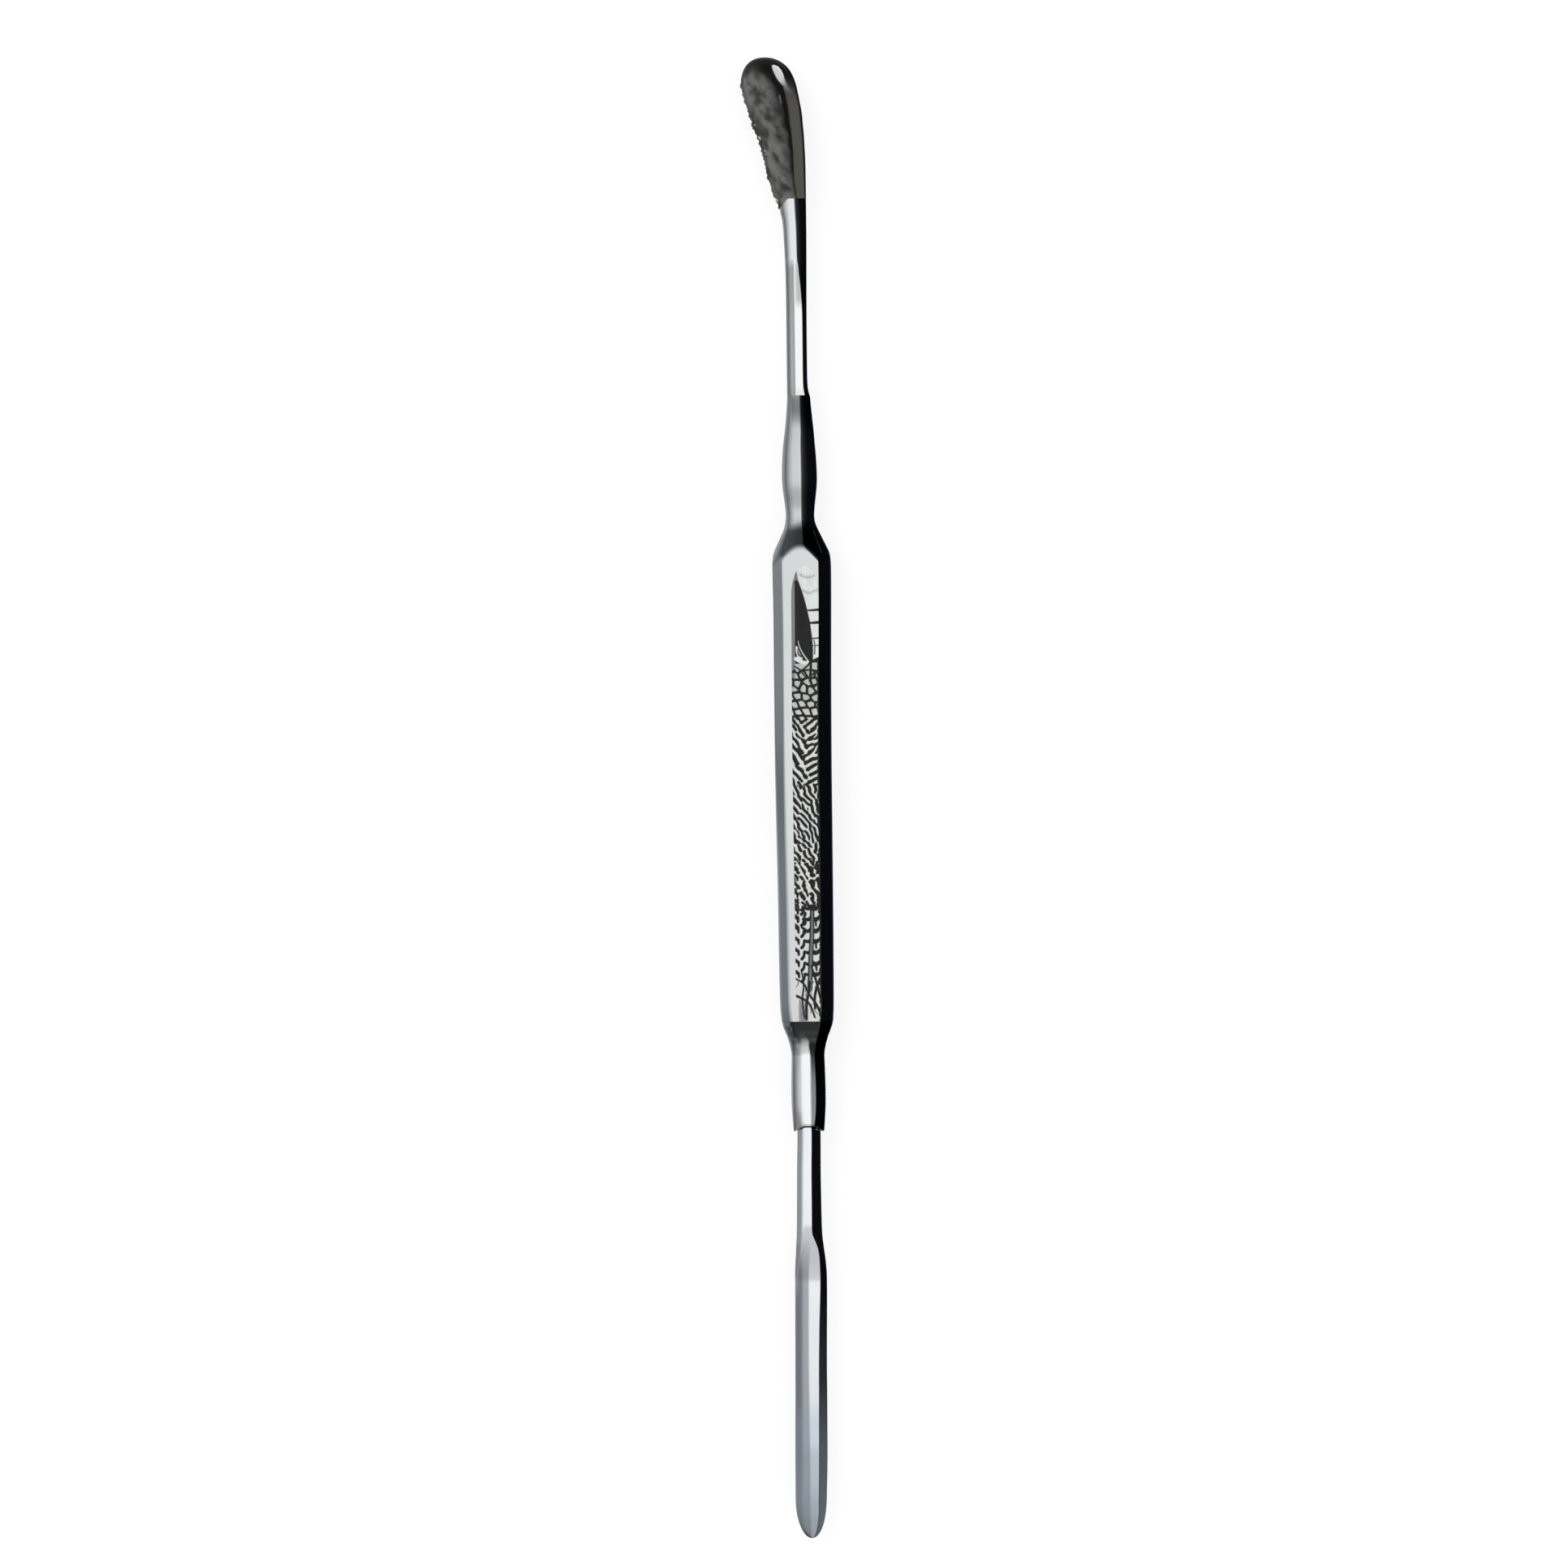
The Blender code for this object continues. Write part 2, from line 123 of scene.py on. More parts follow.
def along(keys, d):
    """A smooth curve through (d, value) keys, level beyond the first and last."""
    if d <= keys[0][0]:
        return keys[0][1]
    if d >= keys[-1][0]:
        return keys[-1][1]
    k = max(i for i, key in enumerate(keys[:-1]) if key[0] <= d)

    def slope(i):
        before, after = keys[max(i - 1, 0)], keys[min(i + 1, len(keys) - 1)]
        return (after[1] - before[1]) / (after[0] - before[0])

    (x0, y0), (x1, y1) = keys[k], keys[k + 1]
    span = x1 - x0
    t = (d - x0) / span
    start = y0 + t * span * slope(k) * (1 - t)
    end = y1 - (1 - t) * span * slope(k + 1) * t
    blend = t * t * (3 - 2 * t)
    return start + (end - start) * blend


def step(value, low, high):
    """A smooth step from 0 at low to 1 at high, for numbers and arrays; low may be the larger."""
    t = np.clip((value - low) / (high - low), 0, 1)
    return t * t * (3 - 2 * t)


def soft_min(a, b, radius):
    """The lower of two heights, with the crease between them rounded."""
    h = np.clip(0.5 + 0.5 * (b - a) / radius, 0, 1)
    return b + (a - b) * h - radius * h * (1 - h)


def spread(start, end, gap):
    """Evenly spaced distances from start to end, about gap apart."""
    return list(np.linspace(start, end, max(2, int(round(abs(end - start) / gap)) + 1)))


def circle(radius, count):
    angles = 2 * np.pi * np.arange(count) / count
    return np.stack([radius * np.cos(angles), radius * np.sin(angles)], 1)


def eight_sided(half_w, half_h, chamfer, rise, radius):
    """A rectangle with rounded corners and chamfers, each chamfer wide and rise high."""
    flat, arc = 14, 6                          # steps along each flat and round each corner
    tilt = math.atan2(chamfer, rise)
    slant = (half_w * rise + (half_h - rise) * chamfer) / math.hypot(rise, chamfer)
    reach = [half_w, slant, half_h, slant]
    facing = [0, tilt, math.pi / 2, math.pi - tilt]
    arcs = []
    for k in range(8):
        start = facing[k % 4] + math.pi * (k // 4)
        end = facing[(k + 1) % 4] + math.pi * ((k + 1) // 4)
        r0, r1 = reach[k % 4] - radius, reach[(k + 1) % 4] - radius
        turn = math.sin(end - start)
        x = (r0 * math.sin(end) - r1 * math.sin(start)) / turn
        z = (r1 * math.cos(start) - r0 * math.cos(end)) / turn
        angles = np.linspace(start, end, arc + 1)
        arcs.append(np.stack([x + radius * np.cos(angles), z + radius * np.sin(angles)], 1))
    outline = []
    for points, following in zip(arcs, arcs[1:] + arcs[:1]):
        share = np.arange(1, flat)[:, None] / flat
        outline += [points, points[-1] + (following[0] - points[-1]) * share]
    return np.concatenate(outline)


def uneven(half_w, half_h, crisp, soft):
    """Eight crisp sides, softer at the front left and the rear right; each is (chamfer, rise, radius)."""
    hard, mild = eight_sided(half_w, half_h, *crisp), eight_sided(half_w, half_h, *soft)
    return np.where((mild[:, 0] * mild[:, 1] < 0)[:, None], mild, hard)


def turned(outline, radius, rounding):
    """The outline after turning it down to a radius, as on a lathe, with a soft edge."""
    reach = np.hypot(outline[:, 0], outline[:, 1])
    return outline * (soft_min(reach, radius, rounding) / reach)[:, None]


def row(d, outline, centre=0, shift=0):
    """The outline placed across the tool: one row of (x, d, z) points."""
    points = np.zeros((len(outline), 3))
    points[:, 0] = centre + outline[:, 0]
    points[:, 1] = d + shift
    points[:, 2] = outline[:, 1]
    return points


# ---- meshes and pieces


def placed(name, data):
    made = bpy.data.objects.new(name, data)
    bpy.context.scene.collection.objects.link(made)
    return made


def mesh_object(name, rows, loop=False, values=None, sharp=32):
    """A closed mesh through rows of points, capped at its ends or joined into a tube by loop."""
    points = np.array(rows, float)
    count, around = points.shape[:2]
    ring = np.arange(count if loop else count - 1)[:, None]
    first, second = ring * around, (ring + 1) % count * around
    near = np.arange(around)
    far = (near + 1) % around
    faces = np.stack([first + near, first + far, second + far, second + near], 2).reshape(-1, 4).tolist()
    if not loop:
        faces.append(list(range(around))[::-1])
        faces.append(list(range((count - 1) * around, count * around)))
    places = points.reshape(-1, 3) * MM + np.array([AXIS.x, CAD_LOW.y, AXIS.z])
    mesh = bpy.data.meshes.new(name)
    mesh.from_pydata(places.tolist(), [], faces)
    for key, numbers in (values or {}).items():
        layer = mesh.attributes.new(key, "FLOAT", "POINT")
        layer.data.foreach_set("value", np.asarray(numbers, np.float32).ravel())
    bm = bmesh.new()
    bm.from_mesh(mesh)
    bmesh.ops.remove_doubles(bm, verts=bm.verts, dist=1e-8)
    bmesh.ops.recalc_face_normals(bm, faces=bm.faces)
    bm.to_mesh(mesh)
    bm.free()
    smooth(mesh, sharp)
    return placed(name, mesh)


def smooth(mesh, sharp):
    mesh.shade_smooth()
    mesh.set_sharp_from_angle(angle=math.radians(sharp))


def finish_piece(made, material, slot, body, *nodes):
    """Gives a piece its material, and lets it stand for CAD nodes on their body; slot is not used."""
    made.data.materials.clear()
    made.data.materials.append(material)
    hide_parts(*nodes)
    if body:
        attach(made, body)


def cut_out(made, cutters):
    """Takes the cutters' shapes out of a mesh, and removes the cutters."""
    for cutter in cutters:
        modifier = made.modifiers.new("cut", "BOOLEAN")
        modifier.object = cutter
        modifier.solver = "EXACT"
    bpy.context.view_layer.update()
    evaluated = made.evaluated_get(bpy.context.evaluated_depsgraph_get())
    result = bpy.data.meshes.new_from_object(evaluated)
    made.modifiers.clear()
    made.data = result
    for cutter in cutters:
        bpy.data.objects.remove(cutter)
    smooth(result, 32)


# ---- materials


def put(tree, socket, value):
    if isinstance(value, bpy.types.NodeSocket):
        tree.links.new(value, socket)
    else:
        socket.default_value = value


def add_node(tree, kind, inputs, **settings):
    node = tree.nodes.new(kind)
    for key, value in settings.items():
        setattr(node, key, value)
    for key, value in inputs.items():
        put(tree, node.inputs[key], value)
    return node


class Finish:
    """A Principled material with short calls for its nodes. Textures are in millimetres."""

    def __init__(self, name):
        self.material = bpy.data.materials.new(name)
        self.material.use_nodes = True
        self.tree = self.material.node_tree
        self.shader = self.tree.nodes["Principled BSDF"]

    def add(self, kind, inputs, **settings):
        return add_node(self.tree, kind, inputs, **settings)

    def places(self, stretch=(1, 1, 1)):
        coordinates = self.add("ShaderNodeTexCoord", {})
        scale = [s / MM for s in stretch]
        inputs = {"Vector": coordinates.outputs["Object"], "Scale": scale}
        return self.add("ShaderNodeMapping", inputs).outputs[0]

    def noise(self, scale, detail=3, stretch=(1, 1, 1)):
        inputs = {"Vector": self.places(stretch), "Scale": scale, "Detail": detail}
        return self.add("ShaderNodeTexNoise", inputs).outputs["Fac"]

    def attribute(self, name):
        return self.add("ShaderNodeAttribute", {}, attribute_name=name).outputs["Fac"]

    def remap(self, value, low, high, to_low=0, to_high=1):
        inputs = {0: value, 1: low, 2: high, 3: to_low, 4: to_high}
        return self.add("ShaderNodeMapRange", inputs).outputs[0]

    def math(self, operation, a, b):
        return self.add("ShaderNodeMath", {0: a, 1: b}, operation=operation).outputs[0]

    def plus(self, a, b):
        return self.math("ADD", a, b)

    def times(self, a, b):
        return self.math("MULTIPLY", a, b)

    def mix(self, factor, a, b):
        """Mixes two colours; each is a socket or its red, green and blue."""
        a, b = (colour(*c) if isinstance(c, tuple) else c for c in (a, b))
        inputs = {0: factor, 6: a, 7: b}
        return self.add("ShaderNodeMix", inputs, data_type="RGBA").outputs[2]

    def bump(self, height, depth, strength=1):
        inputs = {"Height": height, "Distance": depth * MM, "Strength": strength}
        put(self.tree, self.shader.inputs["Normal"], self.add("ShaderNodeBump", inputs).outputs[0])

    def set(self, **inputs):
        names = {"colour": "Base Color", "metallic": "Metallic", "roughness": "Roughness",
                 "specular": "Specular IOR Level"}
        for key, value in inputs.items():
            put(self.tree, self.shader.inputs[names[key]], value)


def colour(red, green, blue):
    return (red, green, blue, 1)


GRAIN_LENGTHWISE = (7, 0.16, 7)
GRAIN_TURNED = (0.5, 9, 0.5)


def steel(name, bright, smudge_and_painted_shade, roughness, grain):
    """Polished steel: faint grain, wiped smudges, and scarce fine scratches."""
    made = Finish(name)
    lines = made.noise(1, 4, grain)
    smudge = made.noise(0.22, 3, (1, 0.35, 1))
    specks = made.noise(5, 2)
    worn = made.remap(specks, 0.70, 0.78)
    shade = made.mix(made.remap(smudge, 0.35, 0.7), bright, smudge_and_painted_shade)
    made.set(colour=made.mix(made.times(worn, 0.12), shade, (0.25, 0.26, 0.28)))
    rough = made.remap(lines, 0.3, 0.7, roughness * 0.75, roughness * 1.35)
    made.set(metallic=1, roughness=made.plus(rough, made.remap(smudge, 0.5, 0.8, 0, 0.035)))
    made.bump(lines, 0.0008)
    return made.material


def blade_steel():
    """The blade: mirror bright at the shank, a satin left plane whose dark colour is painted shade, and
    worn to the tip.
    """
    made = Finish("blade_steel")
    lines = made.noise(1, 5, GRAIN_LENGTHWISE)
    smudge = made.noise(0.3, 3)
    satin_and_painted_shade, worn, milky = made.attribute("satin_and_painted_shade"), made.attribute("worn"), made.attribute("milky")
    bright = made.mix(made.remap(smudge, 0.35, 0.7), (0.95, 0.97, 1), (0.89, 0.92, 0.96))
    used = made.mix(made.remap(worn, 0, 0.6), bright, (0.76, 0.83, 0.90))
    used = made.mix(made.remap(worn, 0.6, 1), used, (0.53, 0.59, 0.64))
    # painted shade: the satin left plane's colour is kept dark
    fresh = made.mix(made.remap(lines, 0.3, 0.7), (0.20, 0.22, 0.26), (0.23, 0.25, 0.29))
    satin_painted_shade = made.mix(made.remap(worn, 0, 0.7), fresh, (0.27, 0.31, 0.36))
    satin_painted_shade = made.mix(made.remap(worn, 0.75, 1), satin_painted_shade, (0.30, 0.35, 0.39))
    made.set(colour=made.mix(satin_and_painted_shade, used, satin_painted_shade))
    made.set(metallic=made.remap(milky, 0, 1, 1, 0.72))
    rough = made.plus(made.remap(lines, 0.3, 0.7, 0.05, 0.08), made.times(worn, 0.10))
    made.set(roughness=made.plus(rough, made.times(satin_and_painted_shade, 0.16)))
    made.bump(lines, 0.0008)
    return made.material


def steel_with_painted_shade(name, bright, roughness):
    """Polished steel whose colour is darkened towards black by a mask of painted shade."""
    made = Finish(name)
    lines = made.noise(1, 4, GRAIN_LENGTHWISE)
    # painted shade: the mask darkens the colour, standing in for darker reflections
    made.set(colour=made.mix(made.attribute("smudge_and_painted_shade"), bright, (0.035, 0.038, 0.042)), metallic=1)
    made.set(roughness=made.remap(lines, 0.3, 0.7, roughness * 0.8, roughness * 1.2))
    made.bump(lines, 0.0008)
    return made.material


def black_oxide():
    """Blackened steel: glossy where smooth, matt grey where cut with painted shade in its hollows and a
    painted reflection on the dome, bright where teeth have worn.
    """
    made = Finish("black_oxide")
    cut, height, tip, strip = (made.attribute(name) for name in ("cut", "height", "tip", "strip"))
    gloss = made.attribute("gloss")
    fine = made.noise(2.2, 4)
    cloud = made.noise(0.5, 3)
    smooth_black = made.mix(cloud, (0.004, 0.004, 0.005), (0.010, 0.010, 0.009))
    # painted shade: the cut face's colour is dark in the hollows and light on the bumps
    painted_valley_shade = made.plus(made.times(height, 0.85), made.remap(fine, 0.3, 0.7, 0, 0.15))
    raw = made.mix(painted_valley_shade, (0.017, 0.017, 0.016), (0.160, 0.160, 0.152))
    skin = made.mix(strip, smooth_black, (0.074, 0.071, 0.062))
    skin = made.mix(cut, skin, raw)
    made.set(colour=made.mix(tip, skin, (0.80, 0.81, 0.83)))
    made.set(metallic=made.times(tip, 0.9))
    matt = made.math("MAXIMUM", cut, strip)
    made.set(roughness=made.plus(made.remap(fine, 0.3, 0.7, 0.07, 0.10), made.times(matt, 0.45)))
    shine = made.remap(gloss, 0, 1, 0.035, 0.16)
    made.set(specular=made.times(shine, made.remap(matt, 0, 0.7, 1, 0.15)))
    made.bump(fine, 0.004, 0.5)
    return made.material


def etched_steel():
    """Bright lands with a warm and a cool cast, and blackened grooves with a rough floor; partial ink greys
    the lands, which carries painted shade too.
    """
    made = Finish("etched_steel")
    ink_and_painted_shade = made.attribute("ink_and_painted_shade")
    lines = made.noise(1, 4, (4, 0.5, 4))
    cast = made.noise(0.10, 2)
    floor = made.noise(6, 3)
    land = made.mix(made.remap(cast, 0.35, 0.65), (0.80, 0.83, 0.84), (0.86, 0.84, 0.78))
    tarnish = made.mix(made.remap(lines, 0.45, 0.75, 0, 0.3), land, (0.50, 0.52, 0.52))
    groove = made.mix(floor, (0.004, 0.004, 0.004), (0.022, 0.021, 0.020))
    # partial ink, partly painted shade, turns the lands grey
    shade = made.mix(made.remap(ink_and_painted_shade, 0, 0.3), tarnish, (0.38, 0.40, 0.40))
    made.set(colour=made.mix(made.remap(ink_and_painted_shade, 0.3, 0.75), shade, groove))
    made.set(metallic=made.remap(ink_and_painted_shade, 0.5, 0.9, 1, 0.2))
    rough = made.remap(lines, 0.3, 0.7, 0.14, 0.24)
    made.set(roughness=made.plus(rough, made.times(ink_and_painted_shade, 0.35)))
    made.bump(floor, 0.003, 0.6)
    return made.material


def brass():
    made = Finish("brass")
    lines = made.noise(1, 4, GRAIN_TURNED)
    cloud = made.noise(0.8, 3)
    made.set(colour=made.mix(cloud, (0.82, 0.62, 0.28), (0.60, 0.42, 0.17)), metallic=1)
    made.set(roughness=made.remap(lines, 0.3, 0.7, 0.2, 0.36))
    made.bump(lines, 0.004)
    return made.material


# A darker copy of the polished steel for the handle: its lower colour is painted shade.
MIRROR_LONG_PAINTED_SHADE = steel("mirror_steel_long_painted_shade", (0.74, 0.76, 0.765), (0.69, 0.71, 0.72), 0.06, GRAIN_LENGTHWISE)
MIRROR_BRIGHT = steel_with_painted_shade("mirror_steel_bright", (0.98, 0.985, 0.99), 0.06)
# A darker copy of the polished steel for the ferrule: its lower colour is painted shade too.
MIRROR_TURNED_PAINTED_SHADE = steel_with_painted_shade("mirror_steel_turned_painted_shade", (0.80, 0.81, 0.815), 0.13)
PLAIN = steel("plain_steel_turned", (0.52, 0.53, 0.55), (0.42, 0.43, 0.45), 0.28, GRAIN_TURNED)
BLADE = blade_steel()
OXIDE = black_oxide()
ETCHED = etched_steel()
BRASS = brass()


# ---- blade end

BLADE_CROWN = 0.8
BLADE_EDGE = 0.22
BLADE_HALF = 2.11
BLADE_TIP = 6
BLADE_END = 42.6
SHANK_END = 64.3
SHANK_DEPTH, SHANK_SIDE = 1.45, 0.6
TANG_HALF, TANG_DEPTH = 0.75, 0.65
RIGHT_TILT = 0.045                             # slope of the right front plane
RIDGE_LINE = [(0, 0.05), (6, 0.05), (19, -0.12), (30, -0.18), (36, -0.12), (38, 0.06), (40.2, 0.27),
              (41.3, 0.42)]
BROW_LINE = [(0, 1.1), (19, 1.14), (25, 1.17), (30, 1.25), (34, 1.36), (37, 1.36), (38.4, 1.30),
             (39.4, 1.12), (40.3, 0.78), (41, 0.50), (41.6, 0.42)]
BLADE_DRIFT = [(0, -0.2), (4, -0.27), (9, -0.18), (18, -0.07), (24, -0.02), (30, 0.06), (35, 0.11),
               (38, 0.07), (40.5, -0.01), (45, -0.01), (50, 0.02), (55, 0.1), (58, 0)]
MILKY = [(3, 0.68), (8, 0.475), (14, 0.3), (20.4, 0.085), (26.7, 0.04), (33, 0)]
BLADE_GROWS = 34.5                             # from here to BLADE_END the blade turns into the shank


def blade_half(d):
    if d < BLADE_TIP:
        return max(0.004, BLADE_HALF * math.sqrt(1 - (1 - d / BLADE_TIP) ** 2.3))
    return along([(BLADE_TIP, BLADE_HALF), (11, 2.17), (24, 2.13), (34, 2.15), (36.2, 2.12), (38.2, 1.96),
                  (40.3, 1.76), (42, 1.67), (46, 1.61), (54, 1.54)], d)


def blade_height(d, x):
    """Front surface: a hollow left plane, a ridge, a right plane and its bevel, rising into the shank."""
    half = blade_half(d)
    shank = float(step(d, BLADE_GROWS, BLADE_END))
    crown = along([(0, 0.38), (3, 0.6), (12, BLADE_CROWN)], d)
    side = BLADE_EDGE * crown / BLADE_CROWN + (SHANK_SIDE - BLADE_EDGE) * shank
    crown += (SHANK_DEPTH - BLADE_CROWN) * shank
    ridge, brow = blade_lines(d)
    share = np.clip((ridge - x) / (half + ridge), 0, 1)
    left = crown - (crown - side) * (0.45 * share + 0.55 * share ** 2.4) * (1 - shank) ** 1.5
    right = crown - RIGHT_TILT * (x - ridge)
    slope = (crown - RIGHT_TILT * (brow - ridge) - side) / (half - brow)
    height = np.where(x < ridge, left, soft_min(right, side + (half - x) * slope, 0.02))
    return soft_min(height, side + (half + x) * (0.9 + 0.1 * shank), 0.05 + 0.25 * shank)


def blade_lines(d):
    """Where the ridge and the right bevel's upper edge run."""
    half = blade_half(d)
    brow = min(along(BROW_LINE, d), 0.56 * half if d < BLADE_TIP else half)
    return min(along(RIDGE_LINE, d), brow - 0.02), brow


def blade_row(d):
    half = blade_half(d)
    ridge, brow = blade_lines(d)
    x = np.concatenate([np.linspace(half, brow, 14), np.linspace(brow, ridge, 12)[1:],
                        np.linspace(ridge, -half, 24)[1:]])
    z = blade_height(d, x)
    front = np.stack([x, z], 1)
    back = np.stack([x[::-1], -z[::-1]], 1)
    return row(d, np.concatenate([front, back]), centre=along(BLADE_DRIFT, d))


def spatula_blade():
    tip = [BLADE_TIP * (1 - math.cos(math.pi / 2 * i / 40)) for i in range(40)]
    distances = tip + spread(BLADE_TIP, BLADE_GROWS, 0.8)[:-1] + spread(BLADE_GROWS, BLADE_END, 0.1)
    distances += spread(BLADE_END, SHANK_END, 1.2)[1:]
    rows = [blade_row(d) for d in distances]
    around = len(rows[0])
    satin_and_painted_shade, worn, milky = [], [], []
    for d, points in zip(distances, rows):
        x = points[:, 0] - along(BLADE_DRIFT, d)
        ridge, brow = blade_lines(d)
        on_left = step(x, ridge + 0.06, ridge - 0.30)
        fading = step(d, BLADE_END - 1, BLADE_GROWS + 0.5)
        # painted reflections: lighter bands across the left plane and along its left rim take away the
        # painted shade there
        painted_light_bands = 0.31 * step(x, -1.45, -0.85) + 0.35 * step(x, -1.4, -1.9) * step(d, 31, 38)
        rim = 0.25 * step(x, 0.22 - blade_half(d), 0.05 - blade_half(d))
        satin_and_painted_shade.append(on_left * fading * (1 - painted_light_bands - rim))
        worn.append(np.full(around, 0.6 * step(d, 19.5, 15.5) + 0.4 * step(d, 14, 0.5)))
        milky.append(step(x, brow - 0.02, brow + 0.05) * along(MILKY, d))
    tang = np.clip(rows[-1][:, [0, 2]], (-TANG_HALF, -TANG_DEPTH), (TANG_HALF, TANG_DEPTH))
    for d in (SHANK_END, TANG_END):
        rows.append(row(d, tang))
        for values in (satin_and_painted_shade, worn, milky):
            values.append(np.zeros(around))
    values = {"satin_and_painted_shade": satin_and_painted_shade, "worn": worn, "milky": milky}
    made = mesh_object("blade_fine", rows, values=values, sharp=40)
    finish_piece(made, BLADE, "blade_steel", "blade", "spatula_blade")


CAP_DRIFT = 0.1
COLLAR_END, COLLAR_DEPTH, COLLAR_SIDE = 65.3, 2.22, 0.586
MOUTH_LIP, MOUTH_NOTCH = 0.07, 0.8             # its rolled edge; how far its front and rear are cut back
NOTCH_END = 57.5                               # the notch has faded here
CAP_BORE, BORE_END = 1.81, 64.7                # the blade's shank ends in this bore
WEB_BORE, WEB_END = 1.15, 65.7                 # the tang passes here
TAIL_BORE = 1.8
TAIL_OUTER, TAIL_GROOVE = 2.2, 2.05            # plain rings for the thread


def cap_outline(d, inset=0):
    """A barrelled collar, then a cone that grows out to the handle's own outline."""
    half = along([(MOUTH, 2.05), (58, 2.27), (61, 2.31), (COLLAR_END, 2.2)], d) - inset
    deep = COLLAR_DEPTH - inset
    side = COLLAR_SIDE * deep
    collar = uneven(half, deep, (1.15, 1.15, 0.25), (side, side, 0.7 * half))
    shoulder = handle_outline(CAP_SEAM)
    wide = along([(65.2, 0), (66, 0.08), (67, 0.265), (68, 0.53), (69, 0.84), (CAP_SEAM, 1)], d)
    rise = max(0, (d - COLLAR_END) / (CAP_SEAM - COLLAR_END)) ** 1.9
    return collar + (shoulder - collar) * [wide, rise]


def cap_painted_shade(d, outline):
    """Painted shade: two soft dark lines down the left, and a darker strip down the right that widens over
    the cone.
    """
    x = np.where(outline[:, 1] > 0, 1, -1) * outline[:, 0]
    lines = 0.55 * np.exp(-((x + 1.77) / 0.16) ** 2) + 0.3 * np.exp(-((x + 0.9) / 0.2) ** 2)
    line = along([(60, 0.42), (65, 0.40), (66.3, 0.25), (67.5, 0.1), (68.6, -0.7)], d)
    strength = along([(57, 0.74), (62, 0.82), (64.5, 0.97), (67, 0.95), (68.4, 0)], d)
    return np.maximum(lines * step(d, 68, 66.5), strength * step(x, line, line + 0.2))


def nose_cap():
    """Collar and cone with a rolled mouth that is cut back at the front and the rear."""
    around = len(cap_outline(MOUTH))

    def mouth(outline):
        return MOUTH_NOTCH * np.minimum(1, np.abs(outline[:, 1]) / 2.1) ** 2

    outer = []
    for angle in np.linspace(0, math.pi / 2, 5):
        outline = cap_outline(MOUTH, MOUTH_LIP * (1 - math.sin(angle)))
        outer.append(row(MOUTH + MOUTH_LIP * (1 - math.cos(angle)), outline, CAP_DRIFT, mouth(outline)))
    for d in spread(MOUTH + 0.6, NOTCH_END, 0.4):
        outline = cap_outline(d)
        outer.append(row(d, outline, CAP_DRIFT, mouth(outline) * (NOTCH_END - d) / (NOTCH_END - MOUTH)))
    for d in spread(57.9, 64.6, 0.5) + spread(64.8, CAP_SEAM - HAIR, 0.12):
        outer.append(row(d, cap_outline(d), CAP_DRIFT))
    tail = [row(d, circle(TAIL_OUTER if k % 2 else TAIL_GROOVE, around))
            for k, d in enumerate(spread(CAP_SEAM - HAIR, TAIL_END, 0.35))]
    bore = circle(CAP_BORE, around)
    inner = [row(MOUTH, bore, shift=mouth(bore)), row(MOUTH + 1.5, bore, shift=mouth(bore) * 0.4),
             row(BORE_END, bore)]
    inner += [row(d, circle(WEB_BORE, around)) for d in (BORE_END, WEB_END)]
    inner += [row(d, circle(TAIL_BORE, around)) for d in (WEB_END, TAIL_END)]
    smudge_and_painted_shade = [cap_painted_shade(points[:, 1].min(), points[:, [0, 2]]) for points in outer]
    # painted shade: the thread rings and the bores inside are darker
    smudge_and_painted_shade += [np.full(around, 0.3)] * len(tail + inner)
    made = mesh_object("nose_cap_fine", outer + tail + inner[::-1], loop=True, values={"smudge_and_painted_shade": smudge_and_painted_shade})
    finish_piece(made, MIRROR_BRIGHT, "mirror_steel", "nose_cap", "nose_cap")


# ---- handle

HANDLE_DRIFT = [(70, 0.1), (72, 0.05), (87, 0.045), (103, -0.01), (110, 0.01), (118, 0.06),
                (125, 0.12), (131.5, 0.12), (134, 0.09), (136, 0.06), (137.4, -0.03)]
HANDLE_BORE, HANDLE_TANG_BORE = 2.5, 1.3
SHOULDER = 131                                 # the turned cone starts after this
END_WALL = 131.4                               # the bore ends here
BELLY, BELLY_TOP = 143.2, 156.2                # the ferrule's widest place; where its taper would level out
BELLY_RADIUS = 2.37


def neck_radius(d):
    """One turned profile for the handle and the ferrule: a cone, a neck, a belly and a long taper."""
    if d > BELLY:
        taper = 0.5 - 0.5 * math.cos(math.pi * (d - BELLY) / (BELLY_TOP - BELLY))
        return BELLY_RADIUS - 0.87 * taper
    belly = BELLY_RADIUS - 0.46 * (0.5 + 0.5 * math.cos(math.pi * max(0, (d - 137.6) / (BELLY - 137.6))))
    cone = 3.33 - 0.475 * (d - 134)
    return -float(soft_min(-cone, -belly, 0.55))


def handle_half(d):
    return along([(CAP_SEAM, 3.42), (70.3, 3.47), (71, 3.52), (73, 3.58), (80, 3.64), (87, 3.67),
                  (95, 3.72), (103, 3.75), (118, 3.79), (125, 3.83), (130, 3.88), (NECK, 3.88)], d)


def handle_outline(d):
    """Eight sides, softer at the front left towards the cap, turned down to a cone at the shoulder."""
    low = float(step(d, 118, 84))
    soft = (HANDLE_CHAMFER, HANDLE_CHAMFER * (1 + 0.22 * low), 0.5 + 0.8 * low)
    outline = uneven(handle_half(d), FRONT, (HANDLE_CHAMFER, HANDLE_CHAMFER, 0.14), soft)
    return turned(outline, neck_radius(d), 0.3)


